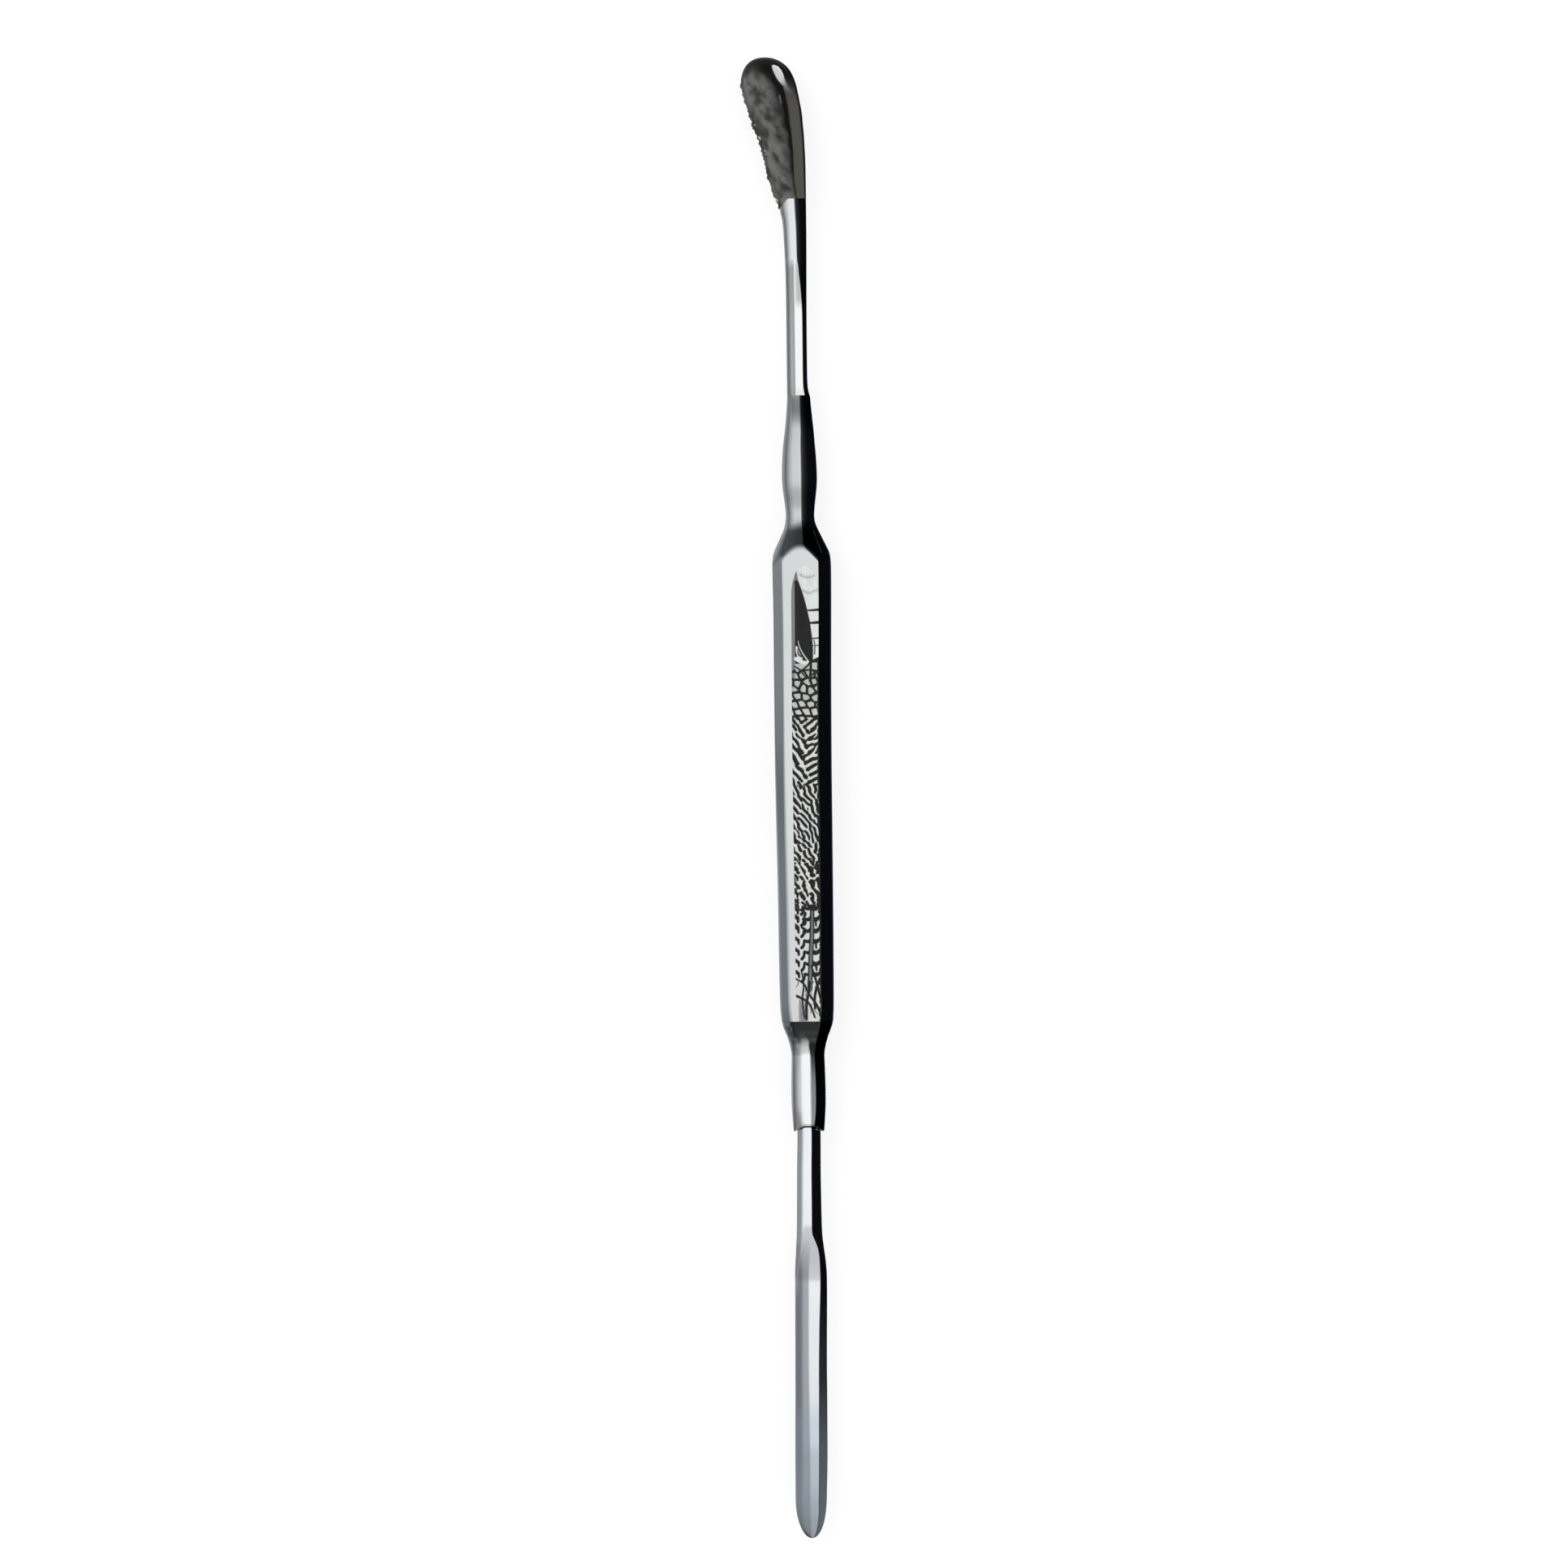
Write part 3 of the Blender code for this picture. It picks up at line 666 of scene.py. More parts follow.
def inlay_sides(d, offset=0):
    """Left and right edges of the inlay at one distance."""
    right = handle_half(min(d, INLAY_ROUND)) - HANDLE_CHAMFER - INLAY_MARGIN
    if d <= INLAY_ROUND:
        return INLAY_LEFT - offset, right + offset
    reach = (d - INLAY_ROUND) / (INLAY_END - INLAY_ROUND + offset)
    half = ((right - INLAY_LEFT) / 2 + offset) * math.sqrt(max(0, 1 - reach * reach))
    middle = (right + INLAY_LEFT) / 2
    return middle - half, middle + half


def inlay_distances(gap, offset=0):
    round_end = [INLAY_ROUND + (INLAY_END + offset - INLAY_ROUND) * math.sin(math.pi / 2 * i / 48)
                 for i in range(1, 49)]
    return spread(INLAY_START - offset, INLAY_ROUND, gap) + round_end


def pocket(name, side):
    """A cutter a hair wider than the inlay."""
    rows = []
    for d in inlay_distances(4, HAIR):
        left, right = inlay_sides(d, HAIR)
        low, high = FRONT - INLAY_THICKNESS - HAIR, FRONT + 0.5
        outline = np.array([(right, low), (right, high), (left, high), (left, low)]) * side
        rows.append(row(d, outline, centre=along(HANDLE_DRIFT, d)))
    return mesh_object(name, rows)


def handle_tube():
    around = len(handle_outline(100))
    distances = spread(CAP_SEAM + HAIR, SHOULDER, 1.5) + spread(SHOULDER + 0.15, NECK - HAIR, 0.12)
    outer = [row(d, handle_outline(d), centre=along(HANDLE_DRIFT, d)) for d in distances]
    inner = [row(d, circle(HANDLE_BORE, around)) for d in (CAP_SEAM + HAIR, END_WALL)]
    inner += [row(d, circle(HANDLE_TANG_BORE, around)) for d in (END_WALL, NECK - HAIR)]
    made = mesh_object("handle_fine", outer + inner[::-1], loop=True)
    cut_out(made, [pocket("pocket_front", 1), pocket("pocket_rear", -1)])
    finish_piece(made, MIRROR_LONG_PAINTED_SHADE, "mirror_steel", "handle", "handle_tube")


# ---- etched inlays


def curve(points, steps=6):
    """A smooth line through points."""
    p = np.array([points[0], *points, points[-1]], float)
    line = []
    for i in range(1, len(p) - 2):
        for t in np.arange(steps) / steps:
            a = 2 * p[i]
            b = (p[i + 1] - p[i - 1]) * t
            c = (2 * p[i - 1] - 5 * p[i] + 4 * p[i + 1] - p[i + 2]) * t * t
            e = (3 * p[i] - p[i - 1] - 3 * p[i + 1] + p[i + 2]) * t ** 3
            line.append((a + b + c + e) / 2)
    return line + [p[-2]]


class Etching:
    """How deep the ink goes over a grid of points: 0 on the lands, 1 in the grooves; some greys between are
    painted shade.
    """

    def __init__(self, x, d, seed):
        self.x, self.d = x, d
        self.ink_and_painted_shade = np.zeros_like(x)
        self.random = np.random.default_rng(seed)

    def jitter(self, size):
        return self.random.uniform(-size, size)

    def reach(self, points, start, end):
        """Distance of every grid point inside a line whose half width goes from start to end."""
        inside = np.full_like(self.x, -9)
        widths = np.linspace(start, end, len(points))
        for (ax, ad), (bx, bd), wa, wb in zip(points, points[1:], widths, widths[1:]):
            near = (self.d > min(ad, bd) - 1.2) & (self.d < max(ad, bd) + 1.2)
            if not near.any():
                continue
            px, pd = self.x[near] - ax, self.d[near] - ad
            lx, ld = bx - ax, bd - ad
            t = np.clip((px * lx + pd * ld) / max(lx * lx + ld * ld, 1e-9), 0, 1)
            gap = np.hypot(px - t * lx, pd - t * ld)
            inside[near] = np.maximum(inside[near], wa + (wb - wa) * t - gap)
        return inside

    def darken(self, value):
        self.ink_and_painted_shade = np.maximum(self.ink_and_painted_shade, value)

    def stroke(self, points, start=0.12, end=None, depth=1, soft=0.05, smooth_line=True):
        line = curve(points) if smooth_line else points
        inside = self.reach(line, start, start if end is None else end)
        self.darken(depth * step(inside, -soft, soft))

    def land(self, points, start, end=None):
        """A bright island or bar, cleared out of the ink."""
        inside = self.reach(curve(points), start, start if end is None else end)
        self.ink_and_painted_shade = np.minimum(self.ink_and_painted_shade, 1 - step(inside, -0.05, 0.05))

    def cells(self, low, high, size, tilt, border):
        """Cracked ground: dark borders between stretched cells."""
        seeds = []
        for k in range(int((high - low) / size[1]) + 2):
            for m in range(-1, int(3.8 / size[0]) + 1):
                seeds.append((INLAY_LEFT + (m + 0.5 * (k % 2) + 0.3) * size[0] + self.jitter(0.2 * size[0]),
                              low + k * size[1] + self.jitter(0.25 * size[1])))
        near = (self.d > low - 1) & (self.d < high + 1)
        x, d = self.x[near], self.d[near]
        first, second = np.full_like(x, 9), np.full_like(x, 9)
        cos, sin = math.cos(tilt), math.sin(tilt)
        for sx, sd in seeds:
            a = ((x - sx) * cos + (d - sd) * sin) / 1.5
            b = -(x - sx) * sin + (d - sd) * cos
            gap = np.hypot(a, b)
            second = np.minimum(second, np.maximum(gap, first))
            first = np.minimum(first, gap)
        inside = (d < high) & (d > low)
        value = step(second - first, border + 0.07, border - 0.07)
        value = np.maximum(value, step(first, 0.56, 0.66)) * inside
        self.ink_and_painted_shade[near] = np.maximum(self.ink_and_painted_shade[near], value)

    def weave(self, low, high, wave, lean, black=0, reach=1.15, stray=0.12):
        """Wandering stripes with forks: a sum of short waves, each leaning as its place asks."""
        near = (self.d > low - 1) & (self.d < high + 1)
        x, d = self.x[near], self.d[near]
        total = np.zeros_like(x)
        for _ in range(int((high - low + 2) * 5.6 * 3.2)):
            cx, cd = self.random.uniform(-2.2, 3.2), self.random.uniform(low - 1, high + 1)
            angle, phase = lean(cx, cd) + self.jitter(stray), self.random.uniform(0, 2 * math.pi)
            close = (np.abs(d - cd) < 1.6 * reach)
            px, pd = x[close] - cx, d[close] - cd
            swing = np.cos(2 * math.pi * (px * math.cos(angle) + pd * math.sin(angle)) / wave + phase)
            total[close] += swing * np.exp(-math.pi * (px * px + pd * pd) / (2 * reach * reach))
        total /= total.std()
        total -= 3 * (1 - step(d, high + 0.4, high - 0.6) * step(d, low - 0.4, low + 0.6))
        self.ink_and_painted_shade[near] = np.maximum(self.ink_and_painted_shade[near], step(total, -0.13 - black, 0.13 - black))


def draw_leaf(art):
    """Upper end: soft grey pads of painted shade beside a dark leaf, with thin lines to its right."""
    for k, d in enumerate((131.6, 129.7, 127.6)):
        left = -0.3 + 0.25 * k
        art.stroke([(left, d + 0.2), (left + 0.7, d - 0.15), (1.4, d - 0.1), (2.3, d + 0.3)],
                   0.06, 0.03, depth=0.34, soft=0.3)
    # painted shade: a soft dark line down to the leaf's tip
    art.stroke([(-0.75, 132.2), (-0.72, 130.5), (-0.5, 128.8), (0, 127.2)], 0.1, 0.16, 0.72, 0.28)
    right = np.interp(art.d, (117.9, 118.6, 119.8, 121.4, 123.5, 125.4, 127, 129.3),
                      (1.42, 1.56, 1.58, 1.46, 1.18, 0.76, 0.36, -0.42))
    body = step(art.x, right + 0.05, right - 0.05) * step(art.x, -1, -0.68)
    body *= step(art.d, 117.8, 118.1) * step(art.d, 129.6, 128.8)
    tone = 0.84 + 0.14 * step(np.abs(art.x - 0.1), 0.25, 0.75)
    art.darken(body * tone)
    # painted shade: a grey band along the inlay's left edge
    side = step(art.x, -0.72, -0.95) * step(art.d, 131.5, 129) * step(art.d, 112, 117)
    art.darken(0.42 * side)
    art.land([(-0.42, 121), (-0.2, 120.2), (0.3, 119.2), (1, 118.2)], 0.06, 0.14)
    art.land([(-0.6, 120.2), (-0.45, 119.4), (-0.1, 118.7)], 0.16, 0.34)
    art.land([(-0.7, 118.6), (0, 118.2), (0.7, 118)], 0.3)
    art.stroke([(-0.45, 119.9), (-0.35, 119.2), (0.1, 118.9)], 0.04, 0.12, depth=0.7)
    for d, start, end in ((125.1, 0.06, 0.13), (123.4, 0.06, 0.16), (121.3, 0.03, 0.05),
                          (120.3, 0.04, 0.03)):
        art.stroke([(0.9, d - 0.02), (1.5, d), (2.35, d + 0.06)], start, end)
    art.stroke([(1.7, 121.2), (1.85, 120.4), (1.8, 119.2)], 0.03, 0.05, depth=0.8)
    art.stroke([(2.35, 118.45), (1.8, 118.3), (1.35, 118.2)], 0.3, 0.12)
    art.stroke([(1.3, 118.15), (0.9, 117.7), (0.2, 117.1), (-0.4, 116.6)], 0.1, 0.08)
    art.stroke([(1.3, 118.1), (1.28, 117), (1.2, 115.6)], 0.12, 0.16)
    art.stroke([(-0.95, 117.6), (-0.3, 117.2), (0.4, 116.4), (0.9, 116)], 0.07, 0.1)
    art.stroke([(2.3, 116.9), (1.9, 116.6), (1.3, 116.4)], 0.07, 0.12)


def zebra(x, d):
    """Stripes fall to the right across the left half, then turn back up."""
    return 0.62 if x < 0.55 else 2.15


def slanting(x, d):
    return 0.55 if x < 0.9 else 0.25


def tangled(x, d):
    return 0.5 if math.sin(5.1 * x + 2.3 * d) > -0.35 else 1.9


def draw_hooks(art):
    """Black blocks and hooks, with long slanting lines."""
    art.weave(84.6, 92.2, 0.78, tangled, black=-0.38, reach=0.65)
    for d in np.arange(82.4, 91.6, 1.12):
        art.stroke([(-1.25, d + 0.42), (-0.85, d + 0.1), (-0.9, d - 0.3)], 0.20, 0.10, smooth_line=False)
        if art.random.random() < 0.75:
            art.stroke([(-0.25 + art.jitter(0.1), d + 0.1), (0.12, d - 0.25), (0, d - 0.6)], 0.12, 0.17)
    for d in (90.6, 88.8, 87, 85.4):
        x = 0.9 + art.jitter(0.15)
        art.stroke([(x, d), (x + 0.35, d - 0.15), (x + 0.3, d - 0.75)], 0.15, 0.2)
        art.stroke([(x + 0.95, d + 0.2), (x + 1.2, d - 0.3), (x + 1, d - 0.85)], 0.24, 0.12)
    art.land([(-0.6, 88.3), (0.3, 86.6), (1.1, 85.2), (1.5, 84.6)], 0.13, 0.2)
    art.land([(-1, 91.4), (-0.1, 89.6), (0.6, 88.3)], 0.14, 0.2)


def draw_ladder(art):
    """A grey stem with uneven rungs and windows to each side."""
    stem = [(1.05, 84.6), (0.98, 81.5), (0.82, 78.8), (0.62, 74.2)]
    for k, d in enumerate(np.arange(76, 85.4, 1.5)):
        lean = art.jitter(0.12)
        art.stroke([(0.95, d + 0.3), (0.45, d + 0.05 + lean), (-0.05, d + 0.25)], 0.27, 0.13)
        art.stroke([(-0.05, d + 0.25), (-0.15, d - 0.4), (-0.4, d - 0.72)], 0.12, 0.18)
        art.stroke([(0.95, d + 0.2), (1.5, d + 0.05 + lean), (2, d + 0.35)], 0.33, 0.2)
        art.stroke([(2, d + 0.35), (2.2, d + 0.9)], 0.14, 0.1)
        art.stroke([(-1.25, d + 0.55), (-0.85, d + 0.3), (-0.8, d - 0.2)], 0.22, 0.10, smooth_line=False)
        if k % 2:
            art.stroke([(1.5, d), (1.55, d - 0.8)], 0.14, 0.08)
    body = art.reach(curve(stem), 0.27, 0.3)
    inside = step(body, -0.06, 0.06)
    art.ink_and_painted_shade = art.ink_and_painted_shade * (1 - inside) + inside * (0.46 + 0.46 * step(body, 0.2, 0))


def draw_branches(art):
    """Lower end: crossing branches and fine twigs."""
    art.stroke([(0.62, 75.2), (0.45, 73.8), (0.15, 72.3), (0.05, 70.2)], 0.15, 0.17, depth=0.8)
    art.stroke([(-1.25, 75.6), (-0.2, 74.9), (0.5, 73.5), (1.3, 72.4), (2.2, 70.6)], 0.07, 0.15)
    art.stroke([(-1.2, 73.3), (0, 72.7), (0.7, 71.9), (1.2, 70.4)], 0.14, 0.08)
    art.stroke([(2.3, 76.2), (1.6, 74.6), (1.25, 73), (1.3, 71.6)], 0.16, 0.12)
    art.stroke([(0.8, 77.4), (1.4, 75.6), (1.85, 73.8), (2.25, 72.4)], 0.09, 0.17)
    art.stroke([(-0.5, 76.8), (-0.2, 74.8), (-0.4, 72.8), (-0.2, 70.4)], 0.07, 0.10, depth=0.9)
    for _ in range(16):
        x, d = art.random.uniform(-1.1, 2), art.random.uniform(71, 75.4)
        angle = art.random.uniform(0.9, 2.5)
        length = art.random.uniform(0.6, 1.5)
        end = (x + length * math.cos(angle), d - length * math.sin(angle))
        middle = ((x + end[0]) / 2 + art.jitter(0.15), (d + end[1]) / 2)
        art.stroke([(x, d), middle, end], 0.045, 0.03, depth=0.7)
    # painted shade: a darker grey patch at the lower end, left of the middle
    shade = step(art.x, 0.6, -0.1) * step(art.x, -1.2, -0.7) * step(art.d, 73.4, 71.6)
    art.darken(0.36 * shade)


def draw(x, d, seed):
    art = Etching(x, d, seed)
    border = x.max(axis=1, keepdims=True)
    art.cells(110.4, 117.2, (1.12, 1.02), -0.75, 0.20)
    art.weave(101, 110.9, 0.80, zebra, black=-0.12, reach=0.85, stray=0.2)
    art.weave(91, 102, 0.68, slanting, black=-0.12, reach=0.62, stray=0.4)
    draw_hooks(art)
    draw_ladder(art)
    draw_branches(art)
    art.darken(0.13 * step(art.d, 108, 114) + 0.03)
    ragged = 0.13 + 0.10 * np.sin(5.3 * d) * np.sin(2.1 * d + 1)
    right = border - ragged * step(d, 127, 122)
    art.darken(step(x, right - 0.03, right + 0.03) * step(d, 126.5, 125.5))
    art.ink_and_painted_shade *= step(art.d, 118.6, 118.2)
    draw_leaf(art)
    return art.ink_and_painted_shade


def grip_inlay(name, node, side, seed):
    """A plate whose face is a fine grid, sunk where the ink goes, and a little where painted shade goes."""
    columns, groove, under = 50, 0.05, 0.004
    distances = inlay_distances(0.072)
    x = np.array([np.linspace(*inlay_sides(d)[::-1], columns) for d in distances])
    ink_and_painted_shade = draw(x, np.repeat(np.array(distances)[:, None], columns, axis=1), seed)
    rim = np.minimum(np.arange(columns), np.arange(columns)[::-1]) == 0
    rows, inks = [], []
    for i, d in enumerate(distances):
        height = FRONT - under - groove * ink_and_painted_shade[i] - under * rim
        face = np.stack([x[i], height], 1)
        back = [(x[i][-1], FRONT - INLAY_THICKNESS), (x[i][0], FRONT - INLAY_THICKNESS)]
        outline = np.concatenate([face, back]) * side
        rows.append(row(d, outline, centre=along(HANDLE_DRIFT, d)))
        inks.append(np.concatenate([ink_and_painted_shade[i], [0, 0]]))
    made = mesh_object(name, rows, values={"ink_and_painted_shade": inks}, sharp=60)
    finish_piece(made, ETCHED, "etched_steel", "handle", node)


# ---- rasp end


ROUND = 96                                     # points round the ferrule
SHANK_ROUND = 160                              # and round the shank
SHANK_FLATTEN = 0.93                           # the shank's depth as a share of its width
FLAT_TILT = math.radians(5.5)
ROD, ROD_GROOVE = 1, 0.93                      # the rod inside the handle, with plain rings for its thread
SPIGOT, SPIGOT_MIDDLE, SPIGOT_LEAN = 0.8, -0.35, 0.19


def upper_ferrule():
    drift = [(NECK, -0.02), (147, -0.04), (150, 0.02), (FERRULE_TOP, 0)]
    distances = spread(NECK + HAIR, FERRULE_TOP - HAIR, 0.2)
    outer = [row(d, circle(neck_radius(d), ROUND), along(drift, d)) for d in distances]
    inner = [row(d, circle(1.15, ROUND)) for d in (distances[0], distances[-1])]
    smudge_and_painted_shade = []
    for d, points in zip(distances, outer):
        x = points[:, 0]
        # painted shade: a little darker over the left half, and much darker near the top except along the
        # far left
        top = along([(149, 0), (150.7, 0.5), (152, 0.74), (153.6, 0.72), (FERRULE_TOP, 0.6)], d)
        smudge_and_painted_shade.append(np.maximum(0.2 * step(x, 0.3, 0), top * step(x, -1.35, -0.7)))
    smudge_and_painted_shade += [np.zeros(ROUND)] * 2
    made = mesh_object("ferrule_fine", outer + inner[::-1], loop=True, values={"smudge_and_painted_shade": smudge_and_painted_shade})
    finish_piece(made, MIRROR_TURNED_PAINTED_SHADE, "mirror_steel", "handle", "upper_ferrule")


def head_rim(x):
    """The head's lower edge runs straight across, then slants down its cutting side."""
    return -1.05 * np.maximum(0, -1.05 - x)


SHANK_EDGES = [(154.2, -1.56, 1.50), (155.4, -1.56, 1.25), (160, -1.55, 1.20), (168, -1.54, 1.25),
               (172, -1.60, 1.30), (175, -1.72, 1.33), (177, -1.82, 1.34), (178, -1.93, 1.34),
               (179, -2.06, 1.345), (180, -2.15, 1.345), (HEAD_START, -2.2, 1.345)]


def shank_row(d):
    """Round, with a flat ground along its front below and the head's slanted rim above."""
    left, right = (along([(key[0], key[k]) for key in SHANK_EDGES], d) for k in (1, 2))
    half, lean = (right - left) / 2, (right + left) / 2
    outline = circle(1, SHANK_ROUND) * [half, half * SHANK_FLATTEN]
    depth = along([(155, 0.215), (165, 0.205), (168, 0.13), (170, 0.06), (172.3, 0),
                   (174, -0.1)], d)
    for side in (1, -1):
        face = np.array([math.sin(FLAT_TILT), side * math.cos(FLAT_TILT)])
        height = outline @ face
        level = half * SHANK_FLATTEN - depth
        outline = outline + (soft_min(height, np.full_like(height, level), 0.015) - height)[:, None] * face
    fade = step(d, 177.6, HEAD_START)
    return row(d, outline, centre=lean, shift=head_rim(outline[:, 0] + lean) * fade)


def shank_painted_shade(d, x):
    """Painted shade: darker left of the flat, the flat's own upper end fading in below its pointed arch,
    and a light shade on the round above, more on its left.
    """
    beside = step(x, -0.28, -0.42) * (0.42 + 0.22 * step(x, -1.3, -0.5))
    arch = 0.45 * step(x, -0.45, 0.1) * step(d, 165.6, 167.4)
    lower = np.maximum(beside, arch) * step(d, 173.4, 171.2)
    upper = 0.16 + 0.16 * step(x, -0.6, -1.5)
    return np.maximum(lower, upper * step(d, 171, 173.2))


def spigot_row(d, fade=0):
    centre = SPIGOT_MIDDLE - SPIGOT_LEAN * (d - HEAD_START)
    outline = circle(SPIGOT, SHANK_ROUND)
    return row(d, outline, centre=centre, shift=head_rim(outline[:, 0] + centre) * fade)


def rasp_shank():
    rows = [row(d, circle(ROD if k % 2 else ROD_GROOVE, SHANK_ROUND))
            for k, d in enumerate(spread(ROD_END, 135, 0.3))]
    rows += [row(FERRULE_TOP + HAIR, circle(ROD, SHANK_ROUND))]
    smudge_and_painted_shade = [np.zeros(SHANK_ROUND) for _ in rows]
    for d in spread(FERRULE_TOP + HAIR, HEAD_START - 0.03, 0.2):
        rows.append(shank_row(d))
        smudge_and_painted_shade.append(shank_painted_shade(d, rows[-1][:, 0]))
    rows += [spigot_row(HEAD_START - 0.03, 1), spigot_row(edge("rasp_shank", 1))]
    made = mesh_object("rasp_shank_fine", rows, values={"smudge_and_painted_shade": smudge_and_painted_shade + [np.zeros(SHANK_ROUND)] * 2})
    finish_piece(made, MIRROR_BRIGHT, "mirror_steel", "handle", "rasp_shank")


DOME, ROUNDNESS = 195.6, 2.2
TEETH_START, TEETH_END, TEETH_GAP = 179.6, 196.4, 0.6
TOOTH_HEIGHT, HAMMERING = 0.26, 0.07
STRIP_LEFT, STRIP_RIGHT = 0.46, 0.86           # the smooth back strip, as shares of the half width
CUT_EDGE = [(181, 0.30), (186, 0.33), (190, 0.30), (194, 0.25), (196.2, 0.12), (197.4, -0.10),
            (198.3, -0.45), (199, -0.95)]


def head_size(d):
    """The head's middle, half width and half depth; it leans to its cutting side and ends in a dome."""
    left = along([(HEAD_START, -2.25), (181.8, -2.84), (182.9, -3.52), (185, -4.06), (187, -4.42),
                  (190, -5.47), (193, -6.42), (DOME, -7.14), (HEAD_END, -7.82)], d)
    right = along([(HEAD_START, 1.345), (182.9, 1.345), (185, 1.335), (187, 1.285), (190, 1.125),
                   (193, 0.84), (DOME, 0.34), (HEAD_END, -0.30)], d)
    depth = along([(HEAD_START, 1.7), (187.3, 2.45), (191.7, 2.75), (DOME, 2.8), (HEAD_END, 2.8)], d)
    share = max(0, (d - DOME) / (HEAD_END - DOME))
    closing = max(0, 1 - share ** ROUNDNESS) ** (1 / ROUNDNESS)
    return (left + right) / 2, (right - left) / 2 * closing, depth * closing


def head_profile(u, d):
    """Height over half depth across the head: crowned cut face, a valley, a flat strip, a round side."""
    crest = max(-0.05, min(0.3, along(CUT_EDGE, d)))
    left = np.sqrt(np.clip(1 - ((u - crest) / (1 + crest)) ** 2, 0, 1))
    valley = 1 - 0.13 * step(u, crest, STRIP_LEFT)
    corner = np.clip((u - STRIP_RIGHT) / (1 - STRIP_RIGHT), 0, 1)
    strip = (0.87 - 0.03 * (u - STRIP_LEFT)) * np.sqrt(1 - corner ** 2)
    shaped = np.where(u < crest, left, np.where(u < STRIP_LEFT, valley, strip))
    plain = np.sqrt(np.clip(1 - u * u, 0, 1))
    return plain + (shaped - plain) * step(d, 197.2, 191.5)


def rasp_head():
    """Dense head whose cut face is hammered, with punched teeth along its cutting side."""
    around = 200
    angles = 2 * np.pi * np.arange(around) / around
    u = np.cos(angles)
    dome = [DOME + (HEAD_END - DOME) * math.sin(math.pi / 2 * i / 44) for i in range(1, 45)]
    distances = spread(HEAD_START, DOME, 0.095) + dome
    random = np.random.default_rng(7)
    teeth = []
    for k, d in enumerate(np.arange(TEETH_START, TEETH_END, TEETH_GAP)):
        for m in range(-3, 4):
            if random.random() < 0.62:
                across = m * 0.62 + 0.31 * (k % 2) + random.uniform(-0.2, 0.2)
                teeth.append((across, d + random.uniform(-0.2, 0.2), random.uniform(0.4, 1.5),
                              random.uniform(0.26, 0.55)))
    blobs = [(random.uniform(-9.5, 9.5), random.uniform(179, 200), random.uniform(0.22, 0.58),
              random.choice((-1, 1))) for _ in range(1300)]
    values = {"cut": [], "height": [], "tip": [], "strip": [], "gloss": []}
    rows = []
    for d in distances:
        centre, half, depth = head_size(d)
        z = np.sign(np.sin(angles)) * head_profile(u, d) * depth
        x = u * half
        arc = (angles - np.pi) * (half + depth) / 2
        border = along(CUT_EDGE, d) + 0.03 * math.sin(2.1 * d)
        cut = step(u, border + 0.12, border - 0.16) * step(d, 198.9, 196.6)
        side = step(u, -0.80, -0.93)
        relief, swell = np.zeros(around), np.zeros(around)
        for a, b, size, reach in teeth:
            if abs(b - d) < 0.5:
                gap = np.hypot(arc - a, (d - b) * 1.1 + 0.10)
                relief = np.maximum(relief, size * np.clip(1 - gap / reach, 0, 1))
        for a, b, size, sign in blobs:
            if abs(b - d) < 2.6 * size:
                swell += sign * np.exp(-(((arc - a) / size) ** 2 + ((d - b) / (1.4 * size)) ** 2))
        swell = (0.5 + 0.5 * np.tanh(0.75 * swell)) * (1 - 0.45 * step(u, border - 0.5, border))
        lift = cut * (relief * TOOTH_HEIGHT * side + HAMMERING * (swell - 0.5) - 0.05 * side)
        reach = np.maximum(np.hypot(x, z), 1e-6)
        outline = np.stack([x, z], 1) * (1 + lift / reach * step(reach, 0, 0.6))[:, None]
        shift = head_rim(x + centre) * max(0, 1 - (d - HEAD_START) / 2.2)
        rows.append(row(d, outline, centre=centre, shift=shift))
        # painted reflection: a lighter grey over the dome's top left, given through the cut face's colour
        painted_rim_reflection = 0.45 * step(u, 0.1, -0.9) * step(d, 199.9, 198)
        low = along([(181, 0.36), (186, 0.46), (194, 0.55), (197, 0.5)], d)
        values["cut"].append(np.maximum(cut, painted_rim_reflection))
        # painted shade in the hollows between bumps; darker along the toothed side as well
        height = np.clip(0.85 * swell + 0.15 * relief + 0.25 * painted_rim_reflection, 0, 1)
        values["height"].append(height * (1 - 0.35 * side))
        values["gloss"].append(np.full(around, step(d, 194, 196.6)))
        values["tip"].append(step(relief, 0.66, 0.92) * cut * side)
        across = step(u, low - 0.04, low + 0.05) * step(u, 0.97, 0.90)
        values["strip"].append(across * step(d, 197.5, 193))
    socket = []
    for d, fade in ((HEAD_START, 1), (edge("rasp_shank", 1) + 0.3, 0)):
        ring = spigot_row(d, fade)
        bore, middle = circle(1, around), ring[:, 0].mean()
        socket.append(row(d, bore, centre=middle, shift=head_rim(bore[:, 0] + middle) * fade))
    flat = [np.zeros(around)] * 2
    made = mesh_object("rasp_head_fine", socket[::-1] + rows, sharp=50,
                       values={key: flat + numbers for key, numbers in values.items()})
    finish_piece(made, OXIDE, "black_oxide", "handle", "rasp_head")
    head_glint(made)


def head_glint(head):
    """A small window that only the blackened head mirrors."""
    turn, rise = math.radians(50), math.radians(45)
    way = Vector((math.sin(turn) * math.cos(rise), math.sin(rise), math.cos(turn) * math.cos(rise)))
    glint = area_light("head_glint", AXIS + Vector((0, 0.095, 0)) + way * 0.5, 0.27, 14, glossy=True)
    glint.data.shape, glint.data.size_y = "ELLIPSE", 0.48
    glint.rotation_quaternion @= Quaternion((0, 0, 1), math.radians(40))
    glint.visible_diffuse = False
    only = bpy.data.collections.new("glint_receivers")
    only.objects.link(head)
    glint.light_linking.receiver_collection = only


# ---- inner pieces


